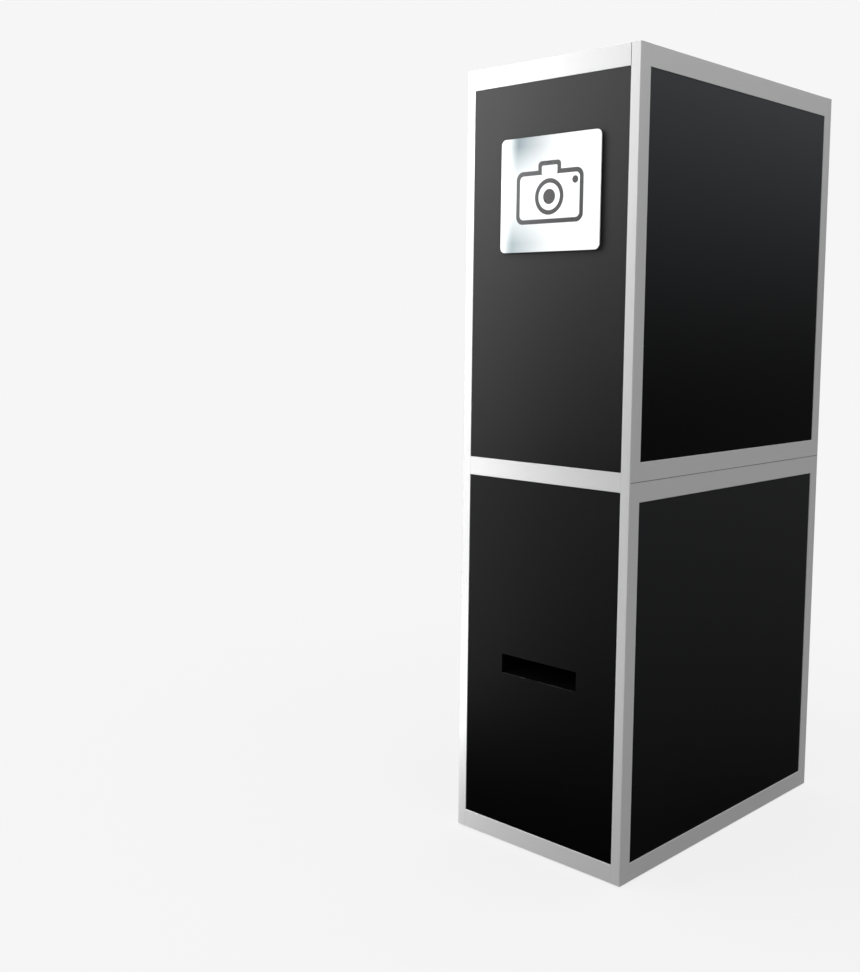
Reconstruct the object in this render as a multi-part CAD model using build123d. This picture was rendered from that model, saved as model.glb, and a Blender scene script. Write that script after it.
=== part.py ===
"""Photo booth tower: two stacked aluminium-framed modules with black infill panels.

Frame of reference: millimetres, +Z up, origin at the middle of the footprint on the floor.
-Y is the narrow face with the name plate and the print slot, +Y the narrow face with the
service doors, -X the wide face that looks at the guests and +X the plain wide face.
"""

from build123d import *
import math
import os

# ---------------------------------------------------------------- overall sizes
WIDTH = 530.0  # across the narrow faces, along X
DEPTH = 950.0  # across the wide faces, along Y
LOWER_HEIGHT = 985.0  # floor to the joint between the two modules
UPPER_HEIGHT = 1015.0  # that joint to the top of the roof frame
FOOT_HEIGHT = 4.0  # glides under the corner posts

# ---------------------------------------------------------------- frame extrusions
POST_X = 27.0  # face of a corner post seen from a narrow side; also the depth of every rail
POST_Y = 40.0  # face of a corner post seen from a wide side
WALL = 2.0  # wall of every hollow extrusion
CORNER_RADIUS = 2.5  # outermost edge of a post
EDGE_RADIUS = 0.8  # outer edges of the rails, and of the posts on the narrow faces
FLUSH_RADIUS = 0.3  # edges of the posts on the wide faces, where the rails meet them flush
SEAM_GROOVE, SEAM_GROOVE_DEPTH = 2.0, 1.4  # height and depth of the shadow groove at the seam, on the wide faces
ROOF_JOINT_GROOVE = 1.2  # shadow groove where a narrow roof rail meets a post
ROOF_RAIL = 52.0  # height of the four rails round the roof
BASE_RAIL = 46.0  # height of the four rails at the floor
SEAM_SIDE_RAIL = 48.0  # wide faces: rail on each side of the seam
SEAM_END_RAIL = 23.5  # narrow faces: rail on each side of the seam
FIN_LENGTH = 12.0  # flange that backs the infill panels
FIN_T = 2.0

# ---------------------------------------------------------------- infill panels
PANEL_T = 6.0
PANEL_RECESS = 1.5  # panel face behind the frame face
PANEL_GAP = 0.75  # round every panel edge
FLOOR_T = 9.0
FLOOR_LIFT = 2.0  # underside of a module to its floor flange
CABLE_HOLE_R = 30.0  # cable way through deck and floor
CABLE_HOLE_INSET = 150.0  # from the rear face to the cable way

# ---------------------------------------------------------------- print slot and chute
SLOT_WIDTH = 239.0
SLOT_BOTTOM = 452.0
SLOT_HEIGHT = 51.0
CHUTE_T = 1.5
CHUTE_FLANGE = 22.0  # flange round the slot, against the back of the panel
CHUTE_LENGTH = 120.0
CHUTE_RISE = 35.0  # the chute floor climbs this much towards the printer

# ---------------------------------------------------------------- name plate
PLATE_WIDTH = 306.0
PLATE_HEIGHT = 280.0
PLATE_X = 13.0  # middle of the plate, a little towards the plain wide face
PLATE_DROP = 274.5  # lower edge of the roof rail to the middle of the plate
PLATE_T = 3.0
PLATE_RADIUS = 14.0
SPACER_RADIUS = 8.0
SPACER_INSET = 34.0
INLAY_DEPTH = 1.0
ICON_WIDTH, ICON_HEIGHT = 206.0, 129.0  # camera outline on the plate
ICON_STROKE = 11.0

# ---------------------------------------------------------------- service doors
DOOR_T = 12.0
DOOR_GAP = 2.0  # round a door in its opening
DOOR_STOP_GAP = 0.5  # back of the door to the flange it closes on
DOOR_RADIUS = 1.0
VENT_SLOT = 6.0  # height of one vent slot
VENT_PITCH = 11.0
KNUCKLE = 20.0  # one of the three knuckles of a hinge
KNUCKLE_GAP = 0.3
BARREL_RADIUS = 3.75
BARREL_LIFT = 0.3  # barrel above the face of the frame
LEAF_T = 1.5
LEAF_WIDTH = 22.0
PIN_RADIUS = 2.0
PIN_CLEARANCE = 0.05
HINGE_INSET = 130.0  # end of the door to the middle of a hinge
LOCK_INSET = 33.0  # edge of the door opening to the lock
LOCK_BARREL_RADIUS = 9.0
LOCK_FLANGE_RADIUS = 12.0
LOCK_FLANGE_T = 2.0
LOCK_PLUG_RADIUS = 6.0
CAM_T = 2.0
CAM_WIDTH = 14.0
CAM_OVERLAP = 7.0  # how far the locked cam reaches behind the flange
CAM_CLEARANCE = 1.0

# ---------------------------------------------------------------- printer
PRINTER_X, PRINTER_Y, PRINTER_Z = 275.0, 366.0, 170.0
PRINTER_WALL = 3.0
PRINTER_EXIT_Z = 100.0  # print exit above the printer's base
PRINTER_EXIT_WIDTH = 164.0
PRINTER_EXIT_HEIGHT = 9.0
PRINTER_GAP = 3.0  # chute to printer
PRINT_DROP = 12.0  # print exit above the end of the chute floor
MEDIA_WIDTH = 152.0
MEDIA_RADIUS = 52.0
ROLLER_RADIUS = 9.0
SPINDLE_RADIUS = 5.0
BOSS_RADIUS = 9.0
BOSS_LENGTH = 9.0
RUNNING_CLEARANCE = 0.06

# ---------------------------------------------------------------- shelves
SHELF_T = 12.0
LEDGE_T = 2.0
LEDGE_LEG = 24.0
LEDGE_GAP = 1.0  # end of a ledge to the nearest flange

# ---------------------------------------------------------------- guest face
CAMERA_RISE = 545.0  # seam to the lens axis
WINDOW_Y, WINDOW_Z = 200.0, 140.0
WINDOW_T = 4.0
SCREEN_Y, SCREEN_Z = 480.0, 272.0  # opening over the display
SCREEN_GAP = 6.0  # display housing to the ledges above it
SCREEN_T = 40.0
GLASS_T = 3.0
LIGHT_Y = 100.0
LIGHT_INSET = 30.0  # edge of the fascia to a light opening
LIGHT_MARGIN_Z = 68.0  # ends of the fascia to a light opening
DIFFUSER_T = 3.0
LED_T = 12.0
LAP = 8.0  # every sheet behind the fascia overlaps its opening by this
OPENING_RADIUS = 6.0

# ---------------------------------------------------------------- camera on its tilt stand
STAND_T = 4.0
STAND_X = 60.0
CRADLE_Y = 109.0
CRADLE_X = 56.0
CRADLE_RISE = 18.0  # pivot to the top of the cradle plate
CRADLE_SIDE_GAP = 0.5
PIVOT_RISE = 50.0  # stand base to pivot
PIVOT_RADIUS = 4.0
EAR_RADIUS = 9.0
CAMERA_Y, CAMERA_X, CAMERA_BODY_Z = 132.0, 52.0, 84.0
LENS_RISE = 46.0  # camera base to lens axis
LENS_RADIUS = 34.0
LENS_REAR = 26.0
LENS_CORE_RADIUS = 31.0
RING_LENGTH = 33.0
RING_RADIUS = 36.0
RING_CLEARANCE = 0.1
RING_GAP = 0.5
LENS_FRONT = 24.0
LENS_BORE = 26.0
BUTTON_RADIUS = 5.0
BUTTON_CLEARANCE = 0.3
BUTTON_PROUD = 2.5
BUTTON_POCKET = 4.0
LENS_TO_GLASS = 30.0

# ---------------------------------------------------------------- computer and fan
COMPUTER_X, COMPUTER_Y, COMPUTER_Z = 190.0, 180.0, 52.0
COMPUTER_FOOT = 3.0
FAN_SIZE = 120.0
FAN_T = 25.0
FAN_BORE = 57.0
FAN_BLADE_RADIUS = 55.0
FAN_HUB_RADIUS = 19.0
FAN_BLADES = 7
FAN_BEARING_RADIUS = 4.0

# ---------------------------------------------------------------- post plugs, dowels, feet
PLUG_CLEARANCE = 0.1
PLUG_LENGTH = 30.0
DOWEL_RADIUS = 5.0
DOWEL_RISE = 12.0
DOWEL_CLEARANCE = 0.3
STEM_LENGTH = 20.0
FOOT_RADIUS = 9.0

# ---------------------------------------------------------------- mains inlet
INLET_FLANGE_X, INLET_FLANGE_Z, INLET_FLANGE_T = 62.0, 32.0, 2.0
INLET_BODY_X, INLET_BODY_Z = 52.0, 25.0
INLET_BACK = 12.0  # body behind the rail
SOCKET_X, SOCKET_Z, SOCKET_DEPTH = 24.0, 17.0, 16.0
ROCKER_X, ROCKER_Z = 13.0, 19.0
ROCKER_CLEARANCE = 0.3
ROCKER_TILT = 8.0
ROCKER_RADIUS = 11.0  # from the rocker's pivot to its curved back
INLET_OFFSET_X = 150.0  # middle of the rail to the inlet
INLET_GAP = 1.0  # inlet above the floor panel

# ---------------------------------------------------------------- sizes that follow
HEIGHT = LOWER_HEIGHT + UPPER_HEIGHT
HALF_X = WIDTH / 2
HALF_Y = DEPTH / 2
INNER_X = HALF_X - POST_X  # posts and side rails end here
INNER_Y = HALF_Y - POST_Y  # posts end here
RAIL_INNER_Y = HALF_Y - POST_X  # end rails end here
PANEL_BACK = PANEL_RECESS + PANEL_T  # frame face to the back of an infill panel
DOOR_FLANGE = DOOR_T + DOOR_STOP_GAP  # frame face to the flange behind a door
BARREL_OUT = BARREL_LIFT + BARREL_RADIUS  # frame face to the hinge axis
PROUD = BARREL_OUT + BARREL_RADIUS  # hinge barrels and name plate both stand this proud
PLATE_CENTRE_Z = HEIGHT - ROOF_RAIL - PLATE_DROP
SLOT_TOP = SLOT_BOTTOM + SLOT_HEIGHT
PRINTER_BASE_Z = SLOT_BOTTOM + CHUTE_RISE + PRINT_DROP - PRINTER_EXIT_Z
CHUTE_FRONT_Y = -(HALF_Y - PANEL_BACK)
CHUTE_REAR_Y = CHUTE_FRONT_Y + CHUTE_LENGTH
PRINTER_FRONT_Y = CHUTE_REAR_Y + PRINTER_GAP
CAMERA_Z = LOWER_HEIGHT + CAMERA_RISE
PIVOT_Z = CAMERA_Z - LENS_RISE - CRADLE_RISE
CAMERA_SHELF_Z = PIVOT_Z - PIVOT_RISE - STAND_T
SCREEN_CENTRE_Z = CAMERA_SHELF_Z - SHELF_T - LEDGE_LEG - SCREEN_GAP - LAP - SCREEN_Z / 2
FASCIA_BACK_X = -(HALF_X - PANEL_BACK)
LENS_TIP_X = FASCIA_BACK_X + WINDOW_T + LENS_TO_GLASS
LENS_LENGTH = LENS_REAR + RING_LENGTH + 2 * RING_GAP + LENS_FRONT
CAMERA_FRONT_X = LENS_TIP_X + LENS_LENGTH
PIVOT_X = CAMERA_FRONT_X + CAMERA_X / 2
HINGE_X = -INNER_X
HINGE_Y = HALF_Y + BARREL_OUT
LOCK_X = INNER_X - LOCK_INSET


class Module:
    """One of the two stacked boxes: where it stands and how high its rails are."""

    def __init__(self, name, base, top, side_rails, end_rails):
        self.name = name
        self.base, self.top = base, top
        self.side_base, self.side_top = side_rails
        self.end_base, self.end_top = end_rails
        # openings between the rails, wide faces and narrow faces
        self.side_low, self.side_high = base + self.side_base, top - self.side_top
        self.end_low, self.end_high = base + self.end_base, top - self.end_top
        self.door_middle = (self.end_low + self.end_high) / 2


LOWER = Module("lower", FOOT_HEIGHT, LOWER_HEIGHT, (BASE_RAIL, SEAM_SIDE_RAIL), (BASE_RAIL, SEAM_END_RAIL))
UPPER = Module("upper", LOWER_HEIGHT, HEIGHT, (SEAM_SIDE_RAIL, ROOF_RAIL), (SEAM_END_RAIL, ROOF_RAIL))


# ================================================================ helpers
def block(x, y, z):
    """A box from three (from, to) spans, given in either order."""
    spans = [sorted(span) for span in (x, y, z)]
    size = [high - low for low, high in spans]
    return Pos(*[(low + high) / 2 for low, high in spans]) * Box(*size)


def rod(centre, axis, radius, length):
    """A cylinder centred on a point, along X, Y or Z."""
    turn = {"X": Rot(0, 90, 0), "Y": Rot(90, 0, 0), "Z": Rot(0, 0, 0)}[axis]
    return Pos(*centre) * turn * Cylinder(radius, length)


def span_rod(start, axis, radius, end):
    """A cylinder along an axis, from a point to a coordinate on that axis."""
    index = "XYZ".index(axis)
    centre = list(start)
    centre[index] = (start[index] + end) / 2
    return rod(centre, axis, radius, abs(end - start[index]))


def edges_at(shape, axis, tests):
    """Edges along an axis whose middle lies at the given coordinates, such as {"x": 265.0}."""
    found = shape.edges().filter_by({"X": Axis.X, "Y": Axis.Y, "Z": Axis.Z}[axis])
    place = {"x": lambda c: c.X, "y": lambda c: c.Y, "z": lambda c: c.Z}
    return [e for e in found if all(abs(place[k](e.center()) - v) < 0.01 for k, v in tests.items())]


def rounded_plate(x, y, z, thin, radius):
    """A block with the four edges along its thin axis rounded."""
    plate = block(x, y, z)
    axis = {"X": Axis.X, "Y": Axis.Y, "Z": Axis.Z}[thin]
    return fillet(plate.edges().filter_by(axis), radius)


# ================================================================ frame
def post(module, side, end):
    """Corner post: hollow rectangular section with a flange for each of its two panels."""
    outer_x, outer_y = side * HALF_X, end * HALF_Y
    inner_x, inner_y = side * INNER_X, end * INNER_Y
    shape = block((inner_x, outer_x), (inner_y, outer_y), (module.base, module.top))
    shape = fillet(edges_at(shape, "Z", {"x": outer_x, "y": outer_y}), CORNER_RADIUS)
    shape = fillet(edges_at(shape, "Z", {"x": inner_x, "y": outer_y}), EDGE_RADIUS)
    shape = fillet(edges_at(shape, "Z", {"x": outer_x, "y": inner_y}), FLUSH_RADIUS)
    shape -= block(
        (inner_x + side * WALL, outer_x - side * WALL),
        (inner_y + end * WALL, outer_y - end * WALL),
        (module.base - 1, module.top + 1),
    )
    if module is UPPER:
        shape -= seam_groove(side, (inner_y, outer_y - end * CORNER_RADIUS))
    flange_x = side * (HALF_X - PANEL_BACK)
    shape += block(
        (flange_x - side * FIN_T, flange_x),
        (inner_y, inner_y - end * FIN_LENGTH),
        (module.side_low, module.side_high),
    )
    flange_y = end * (HALF_Y - (DOOR_FLANGE if end > 0 else PANEL_BACK))
    shape += block(
        (inner_x, inner_x - side * FIN_LENGTH),
        (flange_y - end * FIN_T, flange_y),
        (module.end_low, module.end_high),
    )
    return shape


def seam_groove(side, y_span):
    """Shadow groove along the lower outer edge of the upper module, on a wide face."""
    outer_x = side * HALF_X
    return block(
        (outer_x - side * SEAM_GROOVE_DEPTH, outer_x + side),
        y_span,
        (LOWER_HEIGHT - 1, LOWER_HEIGHT + SEAM_GROOVE),
    )


def tube_along(x, y, z, axis):
    """A hollow rail: a block with its section opened along one axis."""
    inner = []
    for name, span in zip("XYZ", (x, y, z)):
        low, high = sorted(span)
        inner.append((low - 1, high + 1) if name == axis else (low + WALL, high - WALL))
    return block(x, y, z) - block(*inner)


def side_rail(module, side, top):
    """Rail along Y on a wide face, with flanges for the wall panel and for the roof, deck or floor."""
    low, high = (module.side_high, module.top) if top else (module.base, module.side_low)
    outer_x, inner_x = side * HALF_X, side * INNER_X
    shape = tube_along((inner_x, outer_x), (-INNER_Y, INNER_Y), (low, high), "Y")
    rounded = [z for z in (low, high) if z != LOWER_HEIGHT]
    for z in rounded:
        shape = fillet(edges_at(shape, "Y", {"x": outer_x, "z": z}), EDGE_RADIUS)
    if low == LOWER_HEIGHT:
        shape -= seam_groove(side, (-INNER_Y, INNER_Y))
    flange_x = side * (HALF_X - PANEL_BACK)
    edge, away = (low, -1) if top else (high, 1)
    shape += block(
        (flange_x - side * FIN_T, flange_x),
        (-(INNER_Y - FIN_LENGTH), INNER_Y - FIN_LENGTH),
        (edge, edge + away * FIN_LENGTH),
    )
    flange_z = level_flange(module, top)
    shape += block((inner_x, inner_x - side * FIN_LENGTH), (-INNER_Y, INNER_Y), flange_z)
    return shape


def end_rail(module, end, top):
    """Rail along X on a narrow face, with flanges like a side rail's. Rails stay sharp at the seam."""
    low, high = (module.end_high, module.top) if top else (module.base, module.end_low)
    outer_y, inner_y = end * HALF_Y, end * RAIL_INNER_Y
    shape = tube_along((-INNER_X, INNER_X), (inner_y, outer_y), (low, high), "X")
    rounded = [z for z in (low, high) if z != LOWER_HEIGHT]
    for z in rounded:
        shape = fillet(edges_at(shape, "X", {"y": outer_y, "z": z}), EDGE_RADIUS)
    if high == HEIGHT:
        for side in (-1, 1):
            shape -= block(
                (side * (INNER_X - ROOF_JOINT_GROOVE), side * INNER_X),
                (outer_y - end * ROOF_JOINT_GROOVE, outer_y),
                (low, high),
            )
    flange_y = end * (HALF_Y - (DOOR_FLANGE if end > 0 else PANEL_BACK))
    edge, away = (low, -1) if top else (high, 1)
    reach = INNER_X - FIN_LENGTH
    shape += block((-reach, reach), (flange_y - end * FIN_T, flange_y), (edge, edge + away * FIN_LENGTH))
    shape += block((-reach, reach), (inner_y, inner_y - end * FIN_LENGTH), level_flange(module, top))
    return shape


def level_flange(module, top):
    """Height span of the flange that carries a module's roof or deck, or its floor."""
    if top:
        carried = module.top - PANEL_BACK
        return (carried - FIN_T, carried)
    return (module.base + FLOOR_LIFT, module.base + FLOOR_LIFT + FIN_T)


def plug(side, end, low, high):
    """Plastic block that fills the end of a post."""
    fit = WALL + PLUG_CLEARANCE
    return block(
        (side * (INNER_X + fit), side * (HALF_X - fit)),
        (end * (INNER_Y + fit), end * (HALF_Y - fit)),
        (low, high),
    )


def post_centre(side, end):
    return side * (HALF_X + INNER_X) / 2, end * (HALF_Y + INNER_Y) / 2


CORNERS = [(side, end) for end in (-1, 1) for side in (-1, 1)]


def lower_plugs():
    shapes = []
    for side, end in CORNERS:
        x, y = post_centre(side, end)
        foot = plug(side, end, LOWER.base, LOWER.base + PLUG_LENGTH)
        bore = DOWEL_RADIUS + RUNNING_CLEARANCE
        shapes.append(foot - span_rod((x, y, LOWER.base - 1), "Z", bore, LOWER.base + STEM_LENGTH + 1))
        seat = plug(side, end, LOWER.top - PLUG_LENGTH, LOWER.top)
        shapes.append(seat - span_rod((x, y, LOWER.top - STEM_LENGTH), "Z", bore, LOWER.top + 1))
    return shapes


def upper_plugs():
    shapes = []
    for side, end in CORNERS:
        x, y = post_centre(side, end)
        socket = plug(side, end, UPPER.base, UPPER.base + PLUG_LENGTH)
        bore = DOWEL_RADIUS + DOWEL_CLEARANCE
        shapes.append(socket - span_rod((x, y, UPPER.base - 1), "Z", bore, UPPER.base + DOWEL_RISE + 2))
        shapes.append(plug(side, end, UPPER.top - PLUG_LENGTH, UPPER.top))
    return shapes


def dowels():
    shapes = []
    for side, end in CORNERS:
        x, y = post_centre(side, end)
        pin = span_rod((x, y, LOWER.top - STEM_LENGTH), "Z", DOWEL_RADIUS, LOWER.top + DOWEL_RISE)
        shapes.append(chamfer(pin.edges().group_by(Axis.Z)[-1], DOWEL_RADIUS * 0.4))
    return shapes


def feet():
    shapes = []
    for side, end in CORNERS:
        x, y = post_centre(side, end)
        disc = span_rod((x, y, 0), "Z", FOOT_RADIUS, FOOT_HEIGHT)
        disc = chamfer(disc.edges().group_by(Axis.Z)[0], FOOT_HEIGHT * 0.2)
        shapes.append(disc + span_rod((x, y, 0), "Z", DOWEL_RADIUS, LOWER.base + STEM_LENGTH))
    return shapes


# ================================================================ infill panels
def side_panel(module, side):
    """Infill of a wide face."""
    face = side * (HALF_X - PANEL_RECESS)
    reach = INNER_Y - PANEL_GAP
    return block(
        (face, face - side * PANEL_T),
        (-reach, reach),
        (module.side_low + PANEL_GAP, module.side_high - PANEL_GAP),
    )


def front_panel(module):
    """Infill of the narrow face at -Y."""
    face = -(HALF_Y - PANEL_RECESS)
    reach = INNER_X - PANEL_GAP
    return block(
        (-reach, reach),
        (face, face + PANEL_T),
        (module.end_low + PANEL_GAP, module.end_high - PANEL_GAP),
    )


def slotted_front_panel():
    panel = front_panel(LOWER)
    half = SLOT_WIDTH / 2
    return panel - block((-half, half), (-HALF_Y, CHUTE_FRONT_Y + 1), (SLOT_BOTTOM, SLOT_TOP))


def level_panel(low, thickness, cable_way):
    """Roof, deck or floor panel, lying on the rail flanges."""
    reach_x, reach_y = INNER_X - PANEL_GAP, RAIL_INNER_Y - PANEL_GAP
    panel = block((-reach_x, reach_x), (-reach_y, reach_y), (low, low + thickness))
    if cable_way:
        hole = (0, HALF_Y - CABLE_HOLE_INSET, low + thickness / 2)
        panel -= rod(hole, "Z", CABLE_HOLE_R, thickness + 2)
    return panel


def floor_panel(module, cable_way):
    return level_panel(level_flange(module, False)[1], FLOOR_T, cable_way)


def roof_panel(module, cable_way):
    return level_panel(level_flange(module, True)[1], PANEL_T, cable_way)


# ================================================================ name plate
def name_plate_blank():
    half_x, half_z = PLATE_WIDTH / 2, PLATE_HEIGHT / 2
    face = -(HALF_Y + PROUD)
    return rounded_plate(
        (PLATE_X - half_x, PLATE_X + half_x),
        (face, face + PLATE_T),
        (PLATE_CENTRE_Z - half_z, PLATE_CENTRE_Z + half_z),
        "Y",
        PLATE_RADIUS,
    )


def pictogram():
    """Generic camera outline: body with a viewfinder hump, a lens ring and a lens dot."""
    body_x, body_z, stroke = ICON_WIDTH, ICON_HEIGHT, ICON_STROKE
    lens = body_z * 0.34
    outline = RectangleRounded(body_x, body_z, body_z * 0.16)
    hump = Pos(0, body_z * 0.5) * RectangleRounded(body_x * 0.34, body_z * 0.34, body_z * 0.08)
    solid = outline + hump
    hollow = RectangleRounded(body_x - 2 * stroke, body_z - 2 * stroke, body_z * 0.09)
    hollow += Pos(0, body_z * 0.5) * RectangleRounded(
        body_x * 0.34 - 2 * stroke, body_z * 0.34 - 2 * stroke, body_z * 0.03
    )
    ring = Circle(lens) - Circle(lens - stroke)
    drawing = [solid - hollow, ring, Circle(lens * 0.42), Pos(body_x * 0.38, body_z * 0.28) * Circle(stroke * 0.8)]
    place = Pos(PLATE_X, -(HALF_Y + PROUD), PLATE_CENTRE_Z - body_z * 0.06) * Rot(90, 0, 0)
    return [place * extrude(part, -INLAY_DEPTH) for part in drawing]


def spacers():
    length = PROUD + PANEL_RECESS - PLATE_T
    y = -(HALF_Y - PANEL_RECESS) - length / 2
    reach_x, reach_z = PLATE_WIDTH / 2 - SPACER_INSET, PLATE_HEIGHT / 2 - SPACER_INSET
    return [
        rod((PLATE_X + side * reach_x, y, PLATE_CENTRE_Z + level * reach_z), "Y", SPACER_RADIUS, length)
        for side in (-1, 1)
        for level in (-1, 1)
    ]


# ================================================================ print chute and printer
def chute():
    """Folded sheet duct that lets prints slide from the printer down to the slot."""

    def duct(grow, overrun):
        half = SLOT_WIDTH / 2 + grow
        front, rear = CHUTE_FRONT_Y - overrun, CHUTE_REAR_Y + overrun
        slope = CHUTE_RISE / CHUTE_LENGTH
        drop, climb = slope * overrun, CHUTE_RISE + slope * overrun
        side_view = Polyline(
            (front, SLOT_BOTTOM - grow - drop),
            (rear, SLOT_BOTTOM - grow + climb),
            (rear, SLOT_TOP + grow + climb),
            (front, SLOT_TOP + grow - drop),
            close=True,
        )
        outline = make_face(Plane.YZ * side_view)
        return Pos(-half, 0, 0) * extrude(outline, 2 * half)

    half = SLOT_WIDTH / 2
    flange = block(
        (-half - CHUTE_FLANGE, half + CHUTE_FLANGE),
        (CHUTE_FRONT_Y, CHUTE_FRONT_Y + CHUTE_T),
        (SLOT_BOTTOM - CHUTE_FLANGE, SLOT_TOP + CHUTE_FLANGE),
    )
    return (flange + duct(CHUTE_T, 0)) - duct(0, 5)


def printer_axis(which):
    """Y and Z of the feed roller or of the paper roll."""
    if which == "feed":
        return PRINTER_FRONT_Y + 34, PRINTER_BASE_Z + PRINTER_EXIT_Z - ROLLER_RADIUS - 1
    return PRINTER_FRONT_Y + PRINTER_Y - MEDIA_RADIUS - 30, PRINTER_BASE_Z + PRINTER_Z / 2


def printer_case():
    """Housing of the dye-sublimation printer, with the bearing bosses of its two rollers."""
    half = PRINTER_X / 2
    y_span = (PRINTER_FRONT_Y, PRINTER_FRONT_Y + PRINTER_Y)
    z_span = (PRINTER_BASE_Z, PRINTER_BASE_Z + PRINTER_Z)
    case = block((-half, half), y_span, z_span)
    case = fillet(case.edges().filter_by(Axis.Z), 8)
    case = fillet(case.edges().group_by(Axis.Z)[-1], 4)
    wall = PRINTER_WALL
    case -= block((-half + wall, half - wall), (y_span[0] + wall, y_span[1] - wall), (z_span[0] + wall, z_span[1] - wall))
    exit_z = PRINTER_BASE_Z + PRINTER_EXIT_Z
    exit_half = PRINTER_EXIT_WIDTH / 2
    case -= block((-exit_half, exit_half), (y_span[0] - 1, y_span[0] + wall + 1), (exit_z, exit_z + PRINTER_EXIT_HEIGHT))
    for which in ("feed", "media"):
        y, z = printer_axis(which)
        for side in (-1, 1):
            start = side * (half - wall - BOSS_LENGTH)
            case += span_rod((start, y, z), "X", BOSS_RADIUS, side * (half - wall / 2))
            case -= span_rod((start - side, y, z), "X", SPINDLE_RADIUS + RUNNING_CLEARANCE, side * (half - wall))
    return case


def roller(which, radius, length):
    y, z = printer_axis(which)
    spindle = PRINTER_X / 2 - PRINTER_WALL - 0.5
    return rod((0, y, z), "X", radius, length) + rod((0, y, z), "X", SPINDLE_RADIUS, 2 * spindle)


# ================================================================ shelves
def ledges(top):
    """Two angle bars, screwed to the inner faces of the posts, that carry a shelf."""
    front = -(HALF_Y - PANEL_BACK - FIN_T - LEDGE_GAP)
    rear = HALF_Y - DOOR_FLANGE - FIN_T - LEDGE_GAP
    shapes = []
    for side in (-1, 1):
        wall_x, inner = side * INNER_X, side * (INNER_X - LEDGE_LEG)
        leg = block((wall_x, wall_x - side * LEDGE_T), (front, rear), (top - LEDGE_LEG, top))
        shapes.append(leg + block((wall_x, inner), (front, rear), (top - LEDGE_T, top)))
    return shapes


def shelf(top):
    reach_x = INNER_X - PANEL_GAP
    return block((-reach_x, reach_x), (-INNER_Y, INNER_Y), (top - SHELF_T, top))


# ================================================================ guest face
def fascia_opening(centre_y, centre_z, size_y, size_z, back, depth, radius):
    """A rounded plate on the back of the fascia; also the tool that cuts the fascia."""
    return rounded_plate(
        (back, back + depth),
        (centre_y - size_y / 2, centre_y + size_y / 2),
        (centre_z - size_z / 2, centre_z + size_z / 2),
        "X",
        radius,
    )


def light_place(side):
    """Middle and height of one of the two light openings."""
    y = side * (INNER_Y - LIGHT_INSET - LIGHT_Y / 2)
    z = (UPPER.side_low + UPPER.side_high) / 2
    return y, z, UPPER.side_high - UPPER.side_low - 2 * LIGHT_MARGIN_Z


def camera_fascia():
    panel = side_panel(UPPER, -1)
    front = FASCIA_BACK_X - PANEL_T - 1
    depth = PANEL_T + 2
    panel -= fascia_opening(0, CAMERA_Z, WINDOW_Y, WINDOW_Z, front, depth, OPENING_RADIUS)
    panel -= fascia_opening(0, SCREEN_CENTRE_Z, SCREEN_Y, SCREEN_Z, front, depth, OPENING_RADIUS)
    for side in (-1, 1):
        y, z, height = light_place(side)
        panel -= fascia_opening(y, z, LIGHT_Y, height, front, depth, OPENING_RADIUS)
    return panel


def behind(centre_y, centre_z, size_y, size_z, start, thickness):
    """A sheet behind the fascia that laps its opening all round."""
    return fascia_opening(
        centre_y, centre_z, size_y + 2 * LAP, size_z + 2 * LAP, FASCIA_BACK_X + start, thickness, OPENING_RADIUS
    )


def lights(start, thickness):
    return [behind(*light_place(side)[:2], LIGHT_Y, light_place(side)[2], start, thickness) for side in (-1, 1)]


def screen_housing():
    body = behind(0, SCREEN_CENTRE_Z, SCREEN_Y, SCREEN_Z, GLASS_T, SCREEN_T)
    back = FASCIA_BACK_X + GLASS_T + SCREEN_T
    # a shallower rim: the electronics box stands in the middle
    rim = behind(0, SCREEN_CENTRE_Z, SCREEN_Y, SCREEN_Z, GLASS_T + SCREEN_T / 2, SCREEN_T)
    box = block(
        (back - SCREEN_T, back),
        (-SCREEN_Y * 0.32, SCREEN_Y * 0.32),
        (SCREEN_CENTRE_Z - SCREEN_Z * 0.34, SCREEN_CENTRE_Z + SCREEN_Z * 0.34),
    )
    return body - (rim - box)


# ================================================================ camera
def camera_stand():
    """U bracket on the shelf with a stub pin on the inside of each ear."""
    ear_in = CRADLE_Y / 2 + CRADLE_SIDE_GAP
    ear_out = ear_in + STAND_T
    base = block(
        (PIVOT_X - STAND_X / 2, PIVOT_X + STAND_X / 2),
        (-ear_out, ear_out),
        (CAMERA_SHELF_Z, CAMERA_SHELF_Z + STAND_T),
    )
    shape = fillet(base.edges().filter_by(Axis.Z), 5)
    for side in (-1, 1):
        ear = block(
            (PIVOT_X - EAR_RADIUS, PIVOT_X + EAR_RADIUS), (side * ear_in, side * ear_out), (CAMERA_SHELF_Z, PIVOT_Z)
        )
        ear += rod((PIVOT_X, side * (ear_in + ear_out) / 2, PIVOT_Z), "Y", EAR_RADIUS, STAND_T)
        pin = span_rod((PIVOT_X, side * ear_in, PIVOT_Z), "Y", PIVOT_RADIUS, side * (ear_in - STAND_T - CRADLE_SIDE_GAP))
        shape = shape + ear + pin
    return shape


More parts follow.
